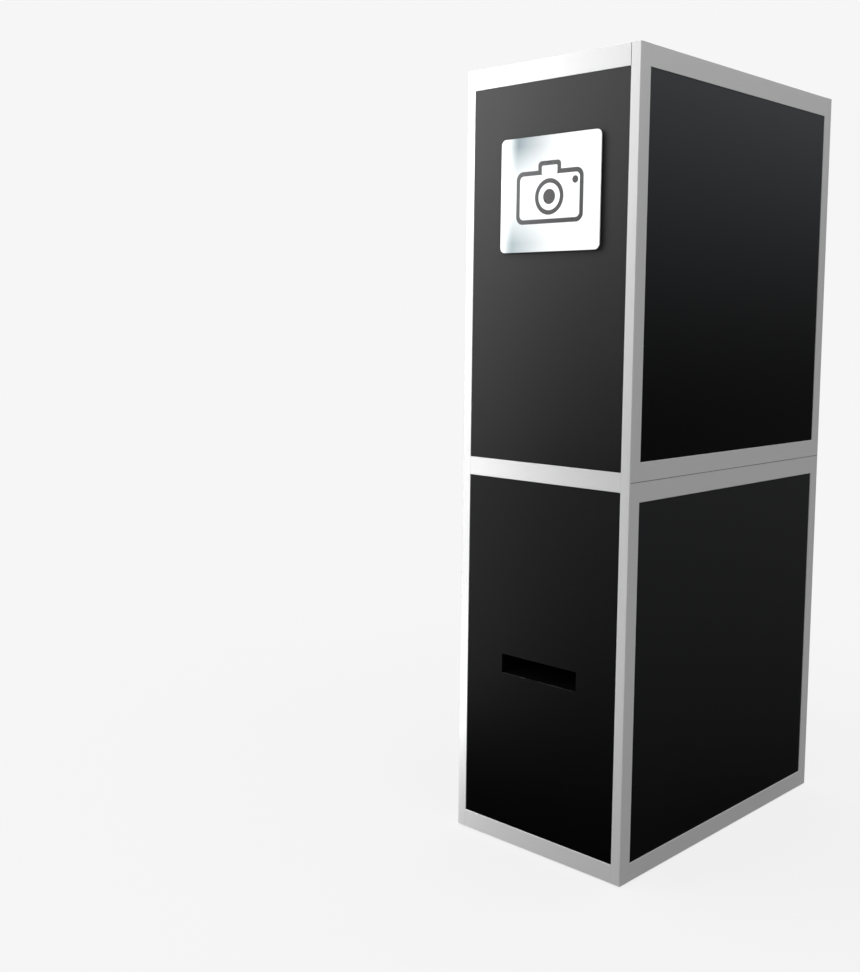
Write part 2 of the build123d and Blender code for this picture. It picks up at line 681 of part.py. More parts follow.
def tilt_cradle():
    """Plate the camera is screwed to, with two ears that hang on the stub pins."""
    half = CRADLE_Y / 2
    top = PIVOT_Z + CRADLE_RISE
    x_span = (PIVOT_X - CRADLE_X / 2, PIVOT_X + CRADLE_X / 2)
    shape = fillet(block(x_span, (-half, half), (top - STAND_T, top)).edges().filter_by(Axis.Z), 4)
    for side in (-1, 1):
        y_span = (side * half, side * (half - STAND_T))
        ear = block((PIVOT_X - EAR_RADIUS, PIVOT_X + EAR_RADIUS), y_span, (PIVOT_Z, top - STAND_T))
        ear += rod((PIVOT_X, side * (half - STAND_T / 2), PIVOT_Z), "Y", EAR_RADIUS, STAND_T)
        ear -= rod((PIVOT_X, side * half, PIVOT_Z), "Y", PIVOT_RADIUS + RUNNING_CLEARANCE, 3 * STAND_T)
        shape += ear
    return shape


CAMERA_BASE_Z = PIVOT_Z + CRADLE_RISE
CAMERA_BACK_X = CAMERA_FRONT_X + CAMERA_X
GRIP_Y = CAMERA_Y / 2 - 16.0
BUTTON_TOP_Z = CAMERA_BASE_Z + CAMERA_BODY_Z - 6.0
BUTTON_X = CAMERA_FRONT_X - 4.0


def camera_body():
    """Digital camera body: main block, viewfinder hump, hand grip and lens mount."""
    half = CAMERA_Y / 2
    base, top = CAMERA_BASE_Z, CAMERA_BASE_Z + CAMERA_BODY_Z
    body = block((CAMERA_FRONT_X + 6, CAMERA_BACK_X), (-half, half), (base, top - 6))
    body = fillet(body.edges().filter_by(Axis.Z), 9)
    body = fillet(body.edges().group_by(Axis.Z)[-1], 4)
    hump_profile = Polyline((-26, -8), (26, -8), (15, 17), (-15, 17), close=True)
    hump = extrude(make_face(Plane.YZ * hump_profile), CAMERA_X - 14)
    hump = fillet(hump.edges().filter_by(Axis.X), 3)
    body += Pos(CAMERA_FRONT_X + 8, 0, top - 6) * hump
    grip = block((CAMERA_FRONT_X - 14, CAMERA_FRONT_X + 16), (half - 30, half), (base, top - 6))
    body += fillet(grip.edges().filter_by(Axis.Z), 8)
    body += span_rod((CAMERA_FRONT_X, 0, CAMERA_Z), "X", LENS_RADIUS, CAMERA_FRONT_X + 8)
    pocket = BUTTON_RADIUS + BUTTON_CLEARANCE
    body -= span_rod((BUTTON_X, GRIP_Y, BUTTON_TOP_Z + 5), "Z", pocket, BUTTON_TOP_Z - BUTTON_POCKET)
    return body


def shutter_button():
    button = span_rod(
        (BUTTON_X, GRIP_Y, BUTTON_TOP_Z - BUTTON_POCKET + 2.2), "Z", BUTTON_RADIUS, BUTTON_TOP_Z + BUTTON_PROUD
    )
    return fillet(button.edges().group_by(Axis.Z)[-1], 0.8)


def lens_stations():
    """X of the lens steps, from the camera forwards."""
    mount = CAMERA_FRONT_X
    rear = mount - LENS_REAR
    front = rear - RING_LENGTH - 2 * RING_GAP
    return mount, rear, front, front - LENS_FRONT


def lens_barrel():
    mount, rear, front, tip = lens_stations()
    barrel = span_rod((mount, 0, CAMERA_Z), "X", LENS_RADIUS, rear)
    barrel += span_rod((rear, 0, CAMERA_Z), "X", LENS_CORE_RADIUS, front)
    nose = span_rod((front, 0, CAMERA_Z), "X", LENS_RADIUS + 1.0, tip)
    barrel += chamfer(nose.edges().group_by(Axis.X)[0], 1.5)
    barrel -= span_rod((tip - 1, 0, CAMERA_Z), "X", LENS_BORE, tip + 9)
    barrel -= span_rod((tip + 8, 0, CAMERA_Z), "X", LENS_BORE - 4, tip + 20)
    return barrel


def lens_glass():
    tip = lens_stations()[3]
    disc = span_rod((tip + 9, 0, CAMERA_Z), "X", LENS_BORE - RUNNING_CLEARANCE, tip + 5)
    return fillet(disc.edges().group_by(Axis.X)[0], 3.4)


def zoom_ring():
    """Ribbed sleeve round the middle of the lens."""
    rear = lens_stations()[1] - RING_GAP
    front = rear - RING_LENGTH
    sleeve = span_rod((rear, 0, CAMERA_Z), "X", RING_RADIUS, front)
    ribs = 36
    for i in range(ribs):
        angle = 2 * math.pi * i / ribs
        y, z = RING_RADIUS * math.sin(angle), CAMERA_Z + RING_RADIUS * math.cos(angle)
        sleeve -= span_rod((rear - 4, y, z), "X", 1.1, front + 4)
    return sleeve - span_rod((rear + 1, 0, CAMERA_Z), "X", LENS_CORE_RADIUS + RING_CLEARANCE, front - 1)


# ================================================================ computer
def computer():
    """Small desktop computer, on four short feet, with vent slots along its top."""
    centre_y = INNER_Y - 30 - COMPUTER_Y / 2
    base = CAMERA_SHELF_Z + COMPUTER_FOOT
    half_x, half_y = COMPUTER_X / 2, COMPUTER_Y / 2
    shape = rounded_plate((-half_x, half_x), (centre_y - half_y, centre_y + half_y), (base, base + COMPUTER_Z), "Z", 10)
    shape = fillet(shape.edges().group_by(Axis.Z)[-1], 2)
    for i in range(9):
        x = (i - 4) * COMPUTER_X * 0.085
        shape -= block(
            (x - 3, x + 3), (centre_y - half_y * 0.6, centre_y + half_y * 0.6), (base + COMPUTER_Z - 4, base + COMPUTER_Z + 1)
        )
    for side, end in CORNERS:
        foot = (side * (half_x - 20), centre_y + end * (half_y - 20), CAMERA_SHELF_Z)
        shape += span_rod(foot, "Z", 7, base + 1)
    return shape


# ================================================================ doors
def vent(panel, centre_z, width, height, y_span):
    """Cuts a field of level slots."""
    rows = int(height // VENT_PITCH)
    for row in range(rows):
        z = centre_z + (row - (rows - 1) / 2) * VENT_PITCH
        slot = rounded_plate((-width / 2, width / 2), y_span, (z - VENT_SLOT / 2, z + VENT_SLOT / 2), "Y", VENT_SLOT * 0.49)
        panel -= slot
    return panel


def fan_centre_z():
    return UPPER.end_high - FAN_SIZE / 2 - 90


def door_panel(module):
    """Door that fills the narrow opening at +Y, with its vent and its lock hole."""
    reach = INNER_X - DOOR_GAP
    low, high = module.end_low + DOOR_GAP, module.end_high - DOOR_GAP
    panel = block((-reach, reach), (HALF_Y - DOOR_T, HALF_Y), (low, high))
    panel = fillet(panel.edges().group_by(Axis.Y)[-1], DOOR_RADIUS)
    y_span = (HALF_Y - DOOR_T - 1, HALF_Y + 1)
    if module is UPPER:
        panel = vent(panel, fan_centre_z(), FAN_SIZE - 16, FAN_SIZE - 8, y_span)
    else:
        panel = vent(panel, module.end_low + 110, 220, 88, y_span)
    hole = LOCK_BARREL_RADIUS + PIN_CLEARANCE
    return panel - rod((LOCK_X, HALF_Y - DOOR_T / 2, module.door_middle), "Y", hole, DOOR_T + 2)


def hinge_heights(module):
    return module.end_low + HINGE_INSET, module.end_high - HINGE_INSET


def hinge_leaf(z, door_side):
    """Leaf of a hinge with its knuckles: the frame holds the outer two and the door the middle one."""
    direction = 1 if door_side else -1
    full = 1.5 * KNUCKLE
    leaf = block(
        (HINGE_X, HINGE_X + direction * LEAF_WIDTH), (HALF_Y, HALF_Y + LEAF_T), (z - full, z + full)
    )
    leaf = fillet(edges_at(leaf, "Y", {"x": HINGE_X + direction * LEAF_WIDTH}), 3)
    middle = (z - KNUCKLE / 2, z + KNUCKLE / 2)
    outer = [(z - full, z - KNUCKLE / 2), (z + KNUCKLE / 2, z + full)]
    own, other = ([middle], outer) if door_side else (outer, [middle])
    for low, high in other:
        relief = BARREL_RADIUS + KNUCKLE_GAP
        leaf -= block(
            (HINGE_X - relief, HINGE_X + relief),
            (HALF_Y - 1, HALF_Y + PROUD + 1),
            (low - KNUCKLE_GAP, high + KNUCKLE_GAP),
        )
    for low, high in own:
        inset_low = KNUCKLE_GAP if low > z - full else 0
        inset_high = KNUCKLE_GAP if high < z + full else 0
        leaf += span_rod((HINGE_X, HINGE_Y, low + inset_low), "Z", BARREL_RADIUS, high - inset_high)
    bore = PIN_RADIUS + PIN_CLEARANCE
    return leaf - rod((HINGE_X, HINGE_Y, z), "Z", bore, 2 * full + 2)


def hinge_pin(z):
    return rod((HINGE_X, HINGE_Y, z), "Z", PIN_RADIUS, 3 * KNUCKLE)


def cam_plane():
    """Y of the outer face of the lock cam, just behind the door flange."""
    return HALF_Y - DOOR_FLANGE - FIN_T - CAM_CLEARANCE


def lock_body(module):
    z = module.door_middle
    start = (LOCK_X, HALF_Y + LOCK_FLANGE_T, z)
    flange = span_rod(start, "Y", LOCK_FLANGE_RADIUS, HALF_Y)
    body = chamfer(flange.edges().group_by(Axis.Y)[-1], 0.6)
    body += span_rod(start, "Y", LOCK_BARREL_RADIUS, cam_plane() + PIN_CLEARANCE)
    nut_face = HALF_Y - DOOR_T
    nut = extrude(Plane.XZ * RegularPolygon(LOCK_FLANGE_RADIUS + 1, 6), nut_face - cam_plane() - 0.5)
    body += Pos(LOCK_X, nut_face, z) * nut
    bore = LOCK_PLUG_RADIUS + RUNNING_CLEARANCE
    return body - rod((LOCK_X, HALF_Y, z), "Y", bore, 4 * DOOR_T)


def lock_cam(module):
    """Plug with its key slot, and the cam it turns. The cam points up when the door is unlocked."""
    z = module.door_middle
    outer = HALF_Y + LOCK_FLANGE_T - 0.4
    shape = span_rod((LOCK_X, outer, z), "Y", LOCK_PLUG_RADIUS, cam_plane() - CAM_T)
    shape -= block((LOCK_X - 1, LOCK_X + 1), (outer - 5, outer + 1), (z - 4, z + 4))
    reach = LOCK_INSET - FIN_LENGTH + CAM_OVERLAP
    arm = block(
        (LOCK_X - CAM_WIDTH / 2, LOCK_X + CAM_WIDTH / 2), (cam_plane(), cam_plane() - CAM_T), (z, z + reach)
    )
    arm = fillet(edges_at(arm, "Y", {"z": z + reach}), CAM_WIDTH * 0.35)
    return shape + arm + span_rod((LOCK_X, cam_plane(), z), "Y", CAM_WIDTH * 0.6, cam_plane() - CAM_T)


# ================================================================ fan
def fan_frame():
    """Square fan housing on the back of the upper door, with the motor seat on three arms."""
    z = fan_centre_z()
    outer = HALF_Y - DOOR_T
    half = FAN_SIZE / 2
    shape = rounded_plate((-half, half), (outer - FAN_T, outer), (z - half, z + half), "Y", 5)
    shape -= rod((0, outer - FAN_T / 2, z), "Y", FAN_BORE, FAN_T + 2)
    seat_y = (outer - FAN_T, outer - FAN_T + 3)
    seat_middle = (0, sum(seat_y) / 2, z)
    arms = rod(seat_middle, "Y", FAN_HUB_RADIUS, 3)
    for i in range(3):
        arm = block((-3, 3), seat_y, (0, FAN_BORE + 1))
        arms += Pos(0, 0, z) * Rot(0, 120 * i, 0) * arm
    axle = span_rod((0, seat_y[0], z), "Y", FAN_BEARING_RADIUS, seat_y[1] + 12)
    return shape + arms + axle


def fan_impeller():
    """Hub with swept blades; it spins on the axle of the fan frame."""
    z = fan_centre_z()
    outer = HALF_Y - DOOR_T
    back, front = outer - FAN_T + 3.5, outer - 2.5
    depth = front - back
    hub = span_rod((0, back, z), "Y", FAN_HUB_RADIUS, front)
    hub = fillet(hub.edges().group_by(Axis.Y)[-1], 2)
    blade = Box(2.0, depth - 3, FAN_BLADE_RADIUS - FAN_HUB_RADIUS + 3)
    reach = (FAN_BLADE_RADIUS + FAN_HUB_RADIUS) / 2 - 1.5
    for i in range(FAN_BLADES):
        turned = Rot(0, 360 * i / FAN_BLADES, 0) * Pos(0, 0, reach) * Rot(0, 0, 38) * blade
        hub += Pos(0, (back + front) / 2, z) * turned
    hub &= rod((0, (back + front) / 2, z), "Y", FAN_BLADE_RADIUS, depth)
    return hub - span_rod((0, back - 1, z), "Y", FAN_BEARING_RADIUS + RUNNING_CLEARANCE, back + 13)


# ================================================================ mains inlet
INLET_Z = LOWER.base + FLOOR_LIFT + FIN_T + FLOOR_T + INLET_GAP + INLET_BODY_Z / 2
ROCKER_PIVOT_Y = HALF_Y + INLET_FLANGE_T - 5.0


def inlet_x(part):
    """X of the inlet's middle, of its socket or of its rocker."""
    shift = {"middle": 0.0, "socket": -11.0, "rocker": 16.0}[part]
    return INLET_OFFSET_X + shift


def inlet_cut(x_grow, z_grow, start, end):
    half_x, half_z = INLET_BODY_X / 2 + x_grow, INLET_BODY_Z / 2 + z_grow
    middle = inlet_x("middle")
    return block((middle - half_x, middle + half_x), (start, end), (INLET_Z - half_z, INLET_Z + half_z))


def power_inlet():
    """Panel inlet with a three-pin socket and the well of the rocker switch."""
    face = HALF_Y + INLET_FLANGE_T
    middle = inlet_x("middle")
    flange = rounded_plate(
        (middle - INLET_FLANGE_X / 2, middle + INLET_FLANGE_X / 2),
        (HALF_Y, face),
        (INLET_Z - INLET_FLANGE_Z / 2, INLET_Z + INLET_FLANGE_Z / 2),
        "Y",
        4,
    )
    body = flange + inlet_cut(0, 0, HALF_Y, RAIL_INNER_Y - INLET_BACK)
    x = inlet_x("socket")
    body -= block(
        (x - SOCKET_X / 2, x + SOCKET_X / 2), (face - SOCKET_DEPTH, face + 1), (INLET_Z - SOCKET_Z / 2, INLET_Z + SOCKET_Z / 2)
    )
    x = inlet_x("rocker")
    half_x, half_z = ROCKER_X / 2 + ROCKER_CLEARANCE, ROCKER_Z / 2 + ROCKER_CLEARANCE
    well = ROCKER_RADIUS + ROCKER_CLEARANCE
    body -= block((x - half_x, x + half_x), (ROCKER_PIVOT_Y - well, face + 1), (INLET_Z - half_z, INLET_Z + half_z))
    return body


def power_rocker():
    """Rocker of the mains switch, drawn in its off position."""
    front = 6.5
    profile = Polyline((-front, -8.6), (0, -8.6), (6.2, -8.9), (4.6, 0), (6.2, 8.9), (0, 8.6), (-front, 8.6), close=True)
    solid = extrude(make_face(Plane.YZ * profile), ROCKER_X)
    solid = Pos(-ROCKER_X / 2, 0, 0) * solid
    return Pos(inlet_x("rocker"), ROCKER_PIVOT_Y, INLET_Z) * Rot(-ROCKER_TILT, 0, 0) * solid


def rear_base_rail():
    """The base rail under the service doors, cut out for the mains inlet."""
    return end_rail(LOWER, 1, False) - inlet_cut(PLUG_CLEARANCE, PLUG_CLEARANCE, HALF_Y + 1, RAIL_INNER_Y - 1)


# ================================================================ assembly
def build():
    """Every node's name and its solids."""
    nodes = {}
    for module in (LOWER, UPPER):
        name = module.name
        nodes[f"{name}_posts"] = [post(module, side, end) for side, end in CORNERS]
        nodes[f"{name}_side_rails"] = [side_rail(module, side, top) for side in (-1, 1) for top in (False, True)]
        nodes[f"{name}_hinge_frame_leaves"] = [hinge_leaf(z, False) for z in hinge_heights(module)]
        nodes[f"{name}_hinge_door_leaves"] = [hinge_leaf(z, True) for z in hinge_heights(module)]
        nodes[f"{name}_hinge_pins"] = [hinge_pin(z) for z in hinge_heights(module)]
        nodes[f"{name}_door_panel"] = [door_panel(module)]
        nodes[f"{name}_lock_body"] = [lock_body(module)]
        nodes[f"{name}_lock_cam"] = [lock_cam(module)]
        nodes[f"{name}_right_panel"] = [side_panel(module, 1)]
        nodes[f"{name}_floor_panel"] = [floor_panel(module, module is UPPER)]
    nodes["lower_end_rails"] = [
        end_rail(LOWER, -1, False),
        end_rail(LOWER, -1, True),
        rear_base_rail(),
        end_rail(LOWER, 1, True),
    ]
    nodes["upper_end_rails"] = [end_rail(UPPER, end, top) for end in (-1, 1) for top in (False, True)]
    nodes["lower_post_plugs"] = lower_plugs()
    nodes["upper_post_plugs"] = upper_plugs()
    nodes["locating_dowels"] = dowels()
    nodes["base_feet"] = feet()
    nodes["lower_left_panel"] = [side_panel(LOWER, -1)]
    nodes["lower_front_panel"] = [slotted_front_panel()]
    nodes["lower_deck_panel"] = [roof_panel(LOWER, True)]
    nodes["upper_front_panel"] = [front_panel(UPPER)]
    nodes["roof_panel"] = [roof_panel(UPPER, False)]
    inlay = pictogram()
    plate = name_plate_blank()
    for part in inlay:
        plate -= part
    nodes["name_plate"] = [plate]
    nodes["name_plate_pictogram"] = inlay
    nodes["name_plate_spacers"] = spacers()
    nodes["print_chute"] = [chute()]
    nodes["lower_shelf_ledges"] = ledges(PRINTER_BASE_Z - SHELF_T)
    nodes["printer_shelf"] = [shelf(PRINTER_BASE_Z)]
    nodes["printer_case"] = [printer_case()]
    nodes["printer_feed_roller"] = [roller("feed", ROLLER_RADIUS, MEDIA_WIDTH + 6)]
    nodes["printer_paper_roll"] = [roller("media", MEDIA_RADIUS, MEDIA_WIDTH)]
    nodes["camera_fascia"] = [camera_fascia()]
    nodes["camera_window"] = [behind(0, CAMERA_Z, WINDOW_Y, WINDOW_Z, 0, WINDOW_T)]
    nodes["screen_glass"] = [behind(0, SCREEN_CENTRE_Z, SCREEN_Y, SCREEN_Z, 0, GLASS_T)]
    nodes["screen_housing"] = [screen_housing()]
    nodes["light_diffusers"] = lights(0, DIFFUSER_T)
    nodes["led_panels"] = lights(DIFFUSER_T, LED_T)
    nodes["upper_shelf_ledges"] = ledges(CAMERA_SHELF_Z - SHELF_T)
    nodes["camera_shelf"] = [shelf(CAMERA_SHELF_Z)]
    nodes["camera_stand"] = [camera_stand()]
    nodes["camera_tilt_cradle"] = [tilt_cradle()]
    nodes["camera_body"] = [camera_body()]
    nodes["lens_barrel"] = [lens_barrel()]
    nodes["lens_glass"] = [lens_glass()]
    nodes["zoom_ring"] = [zoom_ring()]
    nodes["shutter_button"] = [shutter_button()]
    nodes["booth_computer"] = [computer()]
    nodes["fan_frame"] = [fan_frame()]
    nodes["fan_impeller"] = [fan_impeller()]
    nodes["power_inlet"] = [power_inlet()]
    nodes["power_rocker"] = [power_rocker()]
    return nodes


def main():
    os.makedirs("parts", exist_ok=True)
    nodes = build()
    for name, shapes in nodes.items():
        solids = [solid for shape in shapes for solid in shape.solids()]
        export_step(Compound(children=solids) if len(solids) > 1 else solids[0], f"parts/{name}.step")
    print(len(nodes), "nodes,", sum(len(shapes) for shapes in nodes.values()), "solids")


main()
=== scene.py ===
# %% [markdown]
# # A photo booth tower
# The real tower is two framed boxes, one on top of the other. Silver square-edged
# extrusions hold near-black satin panels, a bright plate hangs on the upper front and
# prints drop out of a plain slot in the lower one. Every solid comes from the CAD frame,
# so this notebook only gives it light, finishes and the small parts that a CAD model
# leaves out, such as screws, contact pins and seams.

# %% Load the frame
import bpy
import bmesh
import math
from mathutils import Matrix, Vector


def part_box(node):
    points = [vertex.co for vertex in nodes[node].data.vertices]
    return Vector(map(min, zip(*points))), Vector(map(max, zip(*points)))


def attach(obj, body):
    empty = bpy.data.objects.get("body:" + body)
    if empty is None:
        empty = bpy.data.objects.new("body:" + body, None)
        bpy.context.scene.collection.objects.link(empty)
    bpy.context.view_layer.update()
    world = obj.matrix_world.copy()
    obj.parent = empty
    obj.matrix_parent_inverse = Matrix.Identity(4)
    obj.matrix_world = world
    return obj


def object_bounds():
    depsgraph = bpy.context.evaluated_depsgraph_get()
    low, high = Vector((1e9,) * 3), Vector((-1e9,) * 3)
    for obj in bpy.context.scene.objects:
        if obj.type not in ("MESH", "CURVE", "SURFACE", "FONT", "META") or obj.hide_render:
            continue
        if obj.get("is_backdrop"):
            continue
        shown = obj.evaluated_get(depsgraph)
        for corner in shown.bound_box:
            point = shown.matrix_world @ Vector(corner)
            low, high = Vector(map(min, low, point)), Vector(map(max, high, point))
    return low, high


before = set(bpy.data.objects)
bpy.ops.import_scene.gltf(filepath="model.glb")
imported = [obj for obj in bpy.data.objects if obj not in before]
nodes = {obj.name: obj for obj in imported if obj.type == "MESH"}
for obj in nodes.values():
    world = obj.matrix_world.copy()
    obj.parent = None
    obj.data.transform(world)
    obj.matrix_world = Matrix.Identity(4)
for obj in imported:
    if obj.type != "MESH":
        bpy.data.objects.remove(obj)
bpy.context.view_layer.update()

# %% [markdown]
# ## Camera
# The tower is seen from the corner between its plate face and its plain wide face, from
# chest height. A normal lens from 3.4 m keeps the uprights close to parallel. The camera
# is placed by heading, pitch and a small roll, because those are what a photographer sets,
# and a slight downward shift keeps the base in the frame without tilting further.

# %% Camera
CAMERA_PLACE = Vector((1.868, -2.823, 1.354))
HEADING = math.radians(43.84)  # to the left of +Y
PITCH = math.radians(-5.15)
ROLL = math.radians(0.65)
FOCAL_MM = 44.67
SENSOR_MM = 36.0
SHIFT_DOWN = 0.055
FAR_CLIP = 100.0

lens = bpy.data.cameras.new("booth_camera")
lens.lens = FOCAL_MM
lens.sensor_width = SENSOR_MM
lens.shift_y = -SHIFT_DOWN
lens.clip_end = FAR_CLIP
camera = bpy.data.objects.new("booth_camera", lens)
bpy.context.scene.collection.objects.link(camera)
bpy.context.scene.camera = camera
aim = Matrix.Rotation(HEADING, 4, "Z") @ Matrix.Rotation(math.pi / 2 + PITCH, 4, "X")
camera.matrix_world = Matrix.Translation(CAMERA_PLACE) @ aim @ Matrix.Rotation(ROLL, 4, "Z")
print("camera", [round(v, 3) for v in CAMERA_PLACE])

# %% [markdown]
# ## Floor and light
# A pale studio floor should look endless. A real one is a curved sheet of card; here a
# flat disc fades from card that takes soft shadows, close to the tower, to the plain
# backdrop tone further out, so no horizon shows. Reflections see a darker floor, as black
# laminate in a real studio is shielded from the floor by dark cards.

# %% Floor and backdrop
BACKDROP = 0.922
FLOOR_RADIUS = 30.0
SHADOW_REACH = (0.9, 3.2)  # metres from the tower: least and most of the plain backdrop
BACKDROP_SHARE = (0.86, 1.0)  # how much of the floor is plain backdrop there
CARD_TONE = 0.90
BOUNCE_TONE = 0.15  # tone of the floor for light that bounces


def ramp(tree, source, low, high, out_low=0.0, out_high=1.0, smooth=True):
    """A value mapped from (low, high) to (out_low, out_high), clamped."""
    node = tree.nodes.new("ShaderNodeMapRange")
    node.interpolation_type = "SMOOTHSTEP" if smooth else "LINEAR"
    node.inputs["From Min"].default_value = low
    node.inputs["From Max"].default_value = high
    node.inputs["To Min"].default_value = out_low
    node.inputs["To Max"].default_value = out_high
    tree.links.new(source, node.inputs["Value"])
    return node.outputs["Result"]


def math_node(tree, operation, first, second=None):
    """One arithmetic node; each input is a socket or a number."""
    node = tree.nodes.new("ShaderNodeMath")
    node.operation = operation
    for socket, value in zip(node.inputs, (first, second)):
        if isinstance(value, (int, float)):
            socket.default_value = value
        elif value is not None:
            tree.links.new(value, socket)
    return node.outputs["Value"]


def mix_shaders(tree, factor, first, second):
    """The first shader where the factor is 0, the second where it is 1."""
    node = tree.nodes.new("ShaderNodeMixShader")
    tree.links.new(factor, node.inputs["Fac"])
    tree.links.new(first, node.inputs[1])
    tree.links.new(second, node.inputs[2])
    return node.outputs["Shader"]


def studio_floor():
    mesh = bpy.data.meshes.new("studio_floor")
    shape = bmesh.new()
    bmesh.ops.create_circle(shape, cap_ends=True, segments=96, radius=FLOOR_RADIUS)
    shape.to_mesh(mesh)
    shape.free()
    floor = bpy.data.objects.new("studio_floor", mesh)
    bpy.context.scene.collection.objects.link(floor)
    paper = bpy.data.materials.new("studio_card")
    paper.use_nodes = True
    tree = paper.node_tree
    tree.nodes.clear()
    card = tree.nodes.new("ShaderNodeBsdfDiffuse")
    card.inputs["Color"].default_value = (CARD_TONE, CARD_TONE, CARD_TONE, 1)
    dark = tree.nodes.new("ShaderNodeBsdfDiffuse")
    dark.inputs["Color"].default_value = (BOUNCE_TONE, BOUNCE_TONE, BOUNCE_TONE, 1)
    glow = tree.nodes.new("ShaderNodeEmission")
    glow.inputs["Color"].default_value = (BACKDROP, BACKDROP, BACKDROP, 1)
    place = tree.nodes.new("ShaderNodeTexCoord")
    far = tree.nodes.new("ShaderNodeVectorMath")
    far.operation = "LENGTH"
    tree.links.new(place.outputs["Object"], far.inputs[0])
    away = ramp(tree, far.outputs["Value"], *SHADOW_REACH, *BACKDROP_SHARE)
    seen = mix_shaders(tree, away, card.outputs["BSDF"], glow.outputs["Emission"])
    ray = tree.nodes.new("ShaderNodeLightPath")
    both = mix_shaders(tree, ray.outputs["Is Camera Ray"], dark.outputs["BSDF"], seen)
    output = tree.nodes.new("ShaderNodeOutputMaterial")
    tree.links.new(both, output.inputs["Surface"])
    mesh.materials.append(paper)
    floor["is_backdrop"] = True


studio_floor()
print("floor radius", FLOOR_RADIUS)

# %% [markdown]
# Two boxes stand high on the plate side, so the silver frame is white at the top and grey
# at the foot, and a weak one on the far side helps the plain wide face to its mid grey. A
# tall narrow card beside the left post and a small one at its foot keep that post bright
# all the way down. The world stands in for a white ceiling over a dark room.
#
# The two cards stand so near the tower that they would leave a bright pool on the floor,
# so they are shielded: the tall one reaches only the tower, and the small one only the
# lower frame. A light's receiver collection does what a black flag does in a studio.

# %% Lights
FILL = 0.01  # the room
SKY = 0.91  # the ceiling
CEILING_EDGE = (0.02, 0.36)  # sine of the height where the ceiling's light begins and is full
SOFT_BOXES = {
    # name: (place, aim, width, height, watts)
    "plate_side_box": ((-1.15, -1.75, 2.30), (-0.10, -0.475, 1.60), 0.9, 1.2, 7.4),
    "ceiling_box": ((-0.20, -1.40, 3.10), (0.0, -0.475, 1.90), 1.2, 0.8, 6.6),
    "left_card": ((-0.66, -0.92, 1.20), (-0.20, -0.475, 1.15), 0.35, 2.2, 6.0),
    "foot_card": ((-0.62, -0.80, 0.22), (-0.215, -0.475, 0.08), 0.25, 0.35, 1.1),
    "wide_side_box": ((2.60, 1.80, 2.90), (0.265, 0.0, 1.60), 1.2, 1.2, 1.4),
}


def soft_box(name, place, target, width, height, watts):
    light = bpy.data.lights.new(name, "AREA")
    light.shape = "RECTANGLE"
    light.size, light.size_y = width, height
    light.energy = watts
    lamp = bpy.data.objects.new(name, light)
    lamp.location = place
    lamp.rotation_euler = (Vector(target) - Vector(place)).to_track_quat("-Z", "Y").to_euler()
    lamp.visible_camera = False
    bpy.context.scene.collection.objects.link(lamp)
    return lamp


lamps = {name: soft_box(name, *setting) for name, setting in SOFT_BOXES.items()}
CARD_REACH = {"left_card": list(nodes), "foot_card": ["lower_posts", "lower_end_rails"]}
for card, parts in CARD_REACH.items():
    reached = bpy.data.collections.new(f"lit_by_{card}")
    for part in parts:
        reached.objects.link(nodes[part])
    lamps[card].light_linking.receiver_collection = reached

world = bpy.data.worlds.new("studio")
bpy.context.scene.world = world
world.use_nodes = True
tree = world.node_tree
tree.nodes.clear()
heading = tree.nodes.new("ShaderNodeSeparateXYZ")
tree.links.new(tree.nodes.new("ShaderNodeTexCoord").outputs["Generated"], heading.inputs["Vector"])
ceiling = ramp(tree, heading.outputs["Z"], *CEILING_EDGE, out_low=0.0, out_high=SKY)
fill = tree.nodes.new("ShaderNodeBackground")
fill.inputs["Color"].default_value = (1, 1, 1, 1)
tree.links.new(math_node(tree, "ADD", ceiling, FILL), fill.inputs["Strength"])
backdrop = tree.nodes.new("ShaderNodeBackground")
backdrop.inputs["Color"].default_value = (BACKDROP, BACKDROP, BACKDROP, 1)
ray = tree.nodes.new("ShaderNodeLightPath")
seen = ray.outputs["Is Camera Ray"]
sky = mix_shaders(tree, seen, fill.outputs["Background"], backdrop.outputs["Background"])
output = tree.nodes.new("ShaderNodeOutputWorld")
tree.links.new(sky, output.inputs["Surface"])
bpy.context.scene.view_settings.view_transform = "Standard"
print(len(SOFT_BOXES), "soft boxes")

# %% [markdown]
# ## Shared surface effects
# Every finish here is made of the same few marks: the drawn grain of metal, edges rubbed
# bright, cloudy handling marks, dust that settles on level faces, and the pebble of
# moulded plastic. Each could be painted as a picture, but a picture needs unwrapping and
# blurs close up. A node group works from the part's own coordinates instead, at true
# scale, and is built once and placed in each material with its own values.

# %% Group builder


def new_group(name, inputs, outputs):
    """A shader node group with number or vector inputs and number outputs."""
    made = bpy.data.node_groups.new(name, "ShaderNodeTree")
    for label, value in inputs.items():
        kind = "NodeSocketVector" if isinstance(value, tuple) else "NodeSocketFloat"
        socket = made.interface.new_socket(label, in_out="INPUT", socket_type=kind)
        socket.default_value = value
    for label in outputs:
        made.interface.new_socket(label, in_out="OUTPUT", socket_type="NodeSocketFloat")
    entry = made.nodes.new("NodeGroupInput")
    leave = made.nodes.new("NodeGroupOutput")
    return made, entry, leave


def noise_of(tree, vector, scale, detail=3.0, roughness=0.55):
    node = tree.nodes.new("ShaderNodeTexNoise")
    tree.links.new(vector, node.inputs["Vector"])
    if isinstance(scale, (int, float)):
        node.inputs["Scale"].default_value = scale
    else:
        tree.links.new(scale, node.inputs["Scale"])
    node.inputs["Detail"].default_value = detail
    node.inputs["Roughness"].default_value = roughness
    return node.outputs["Fac"]


def own_place(tree):
    """The part's own coordinates, in metres."""
    return tree.nodes.new("ShaderNodeTexCoord").outputs["Object"]


# %% Drawn grain: long fine streaks


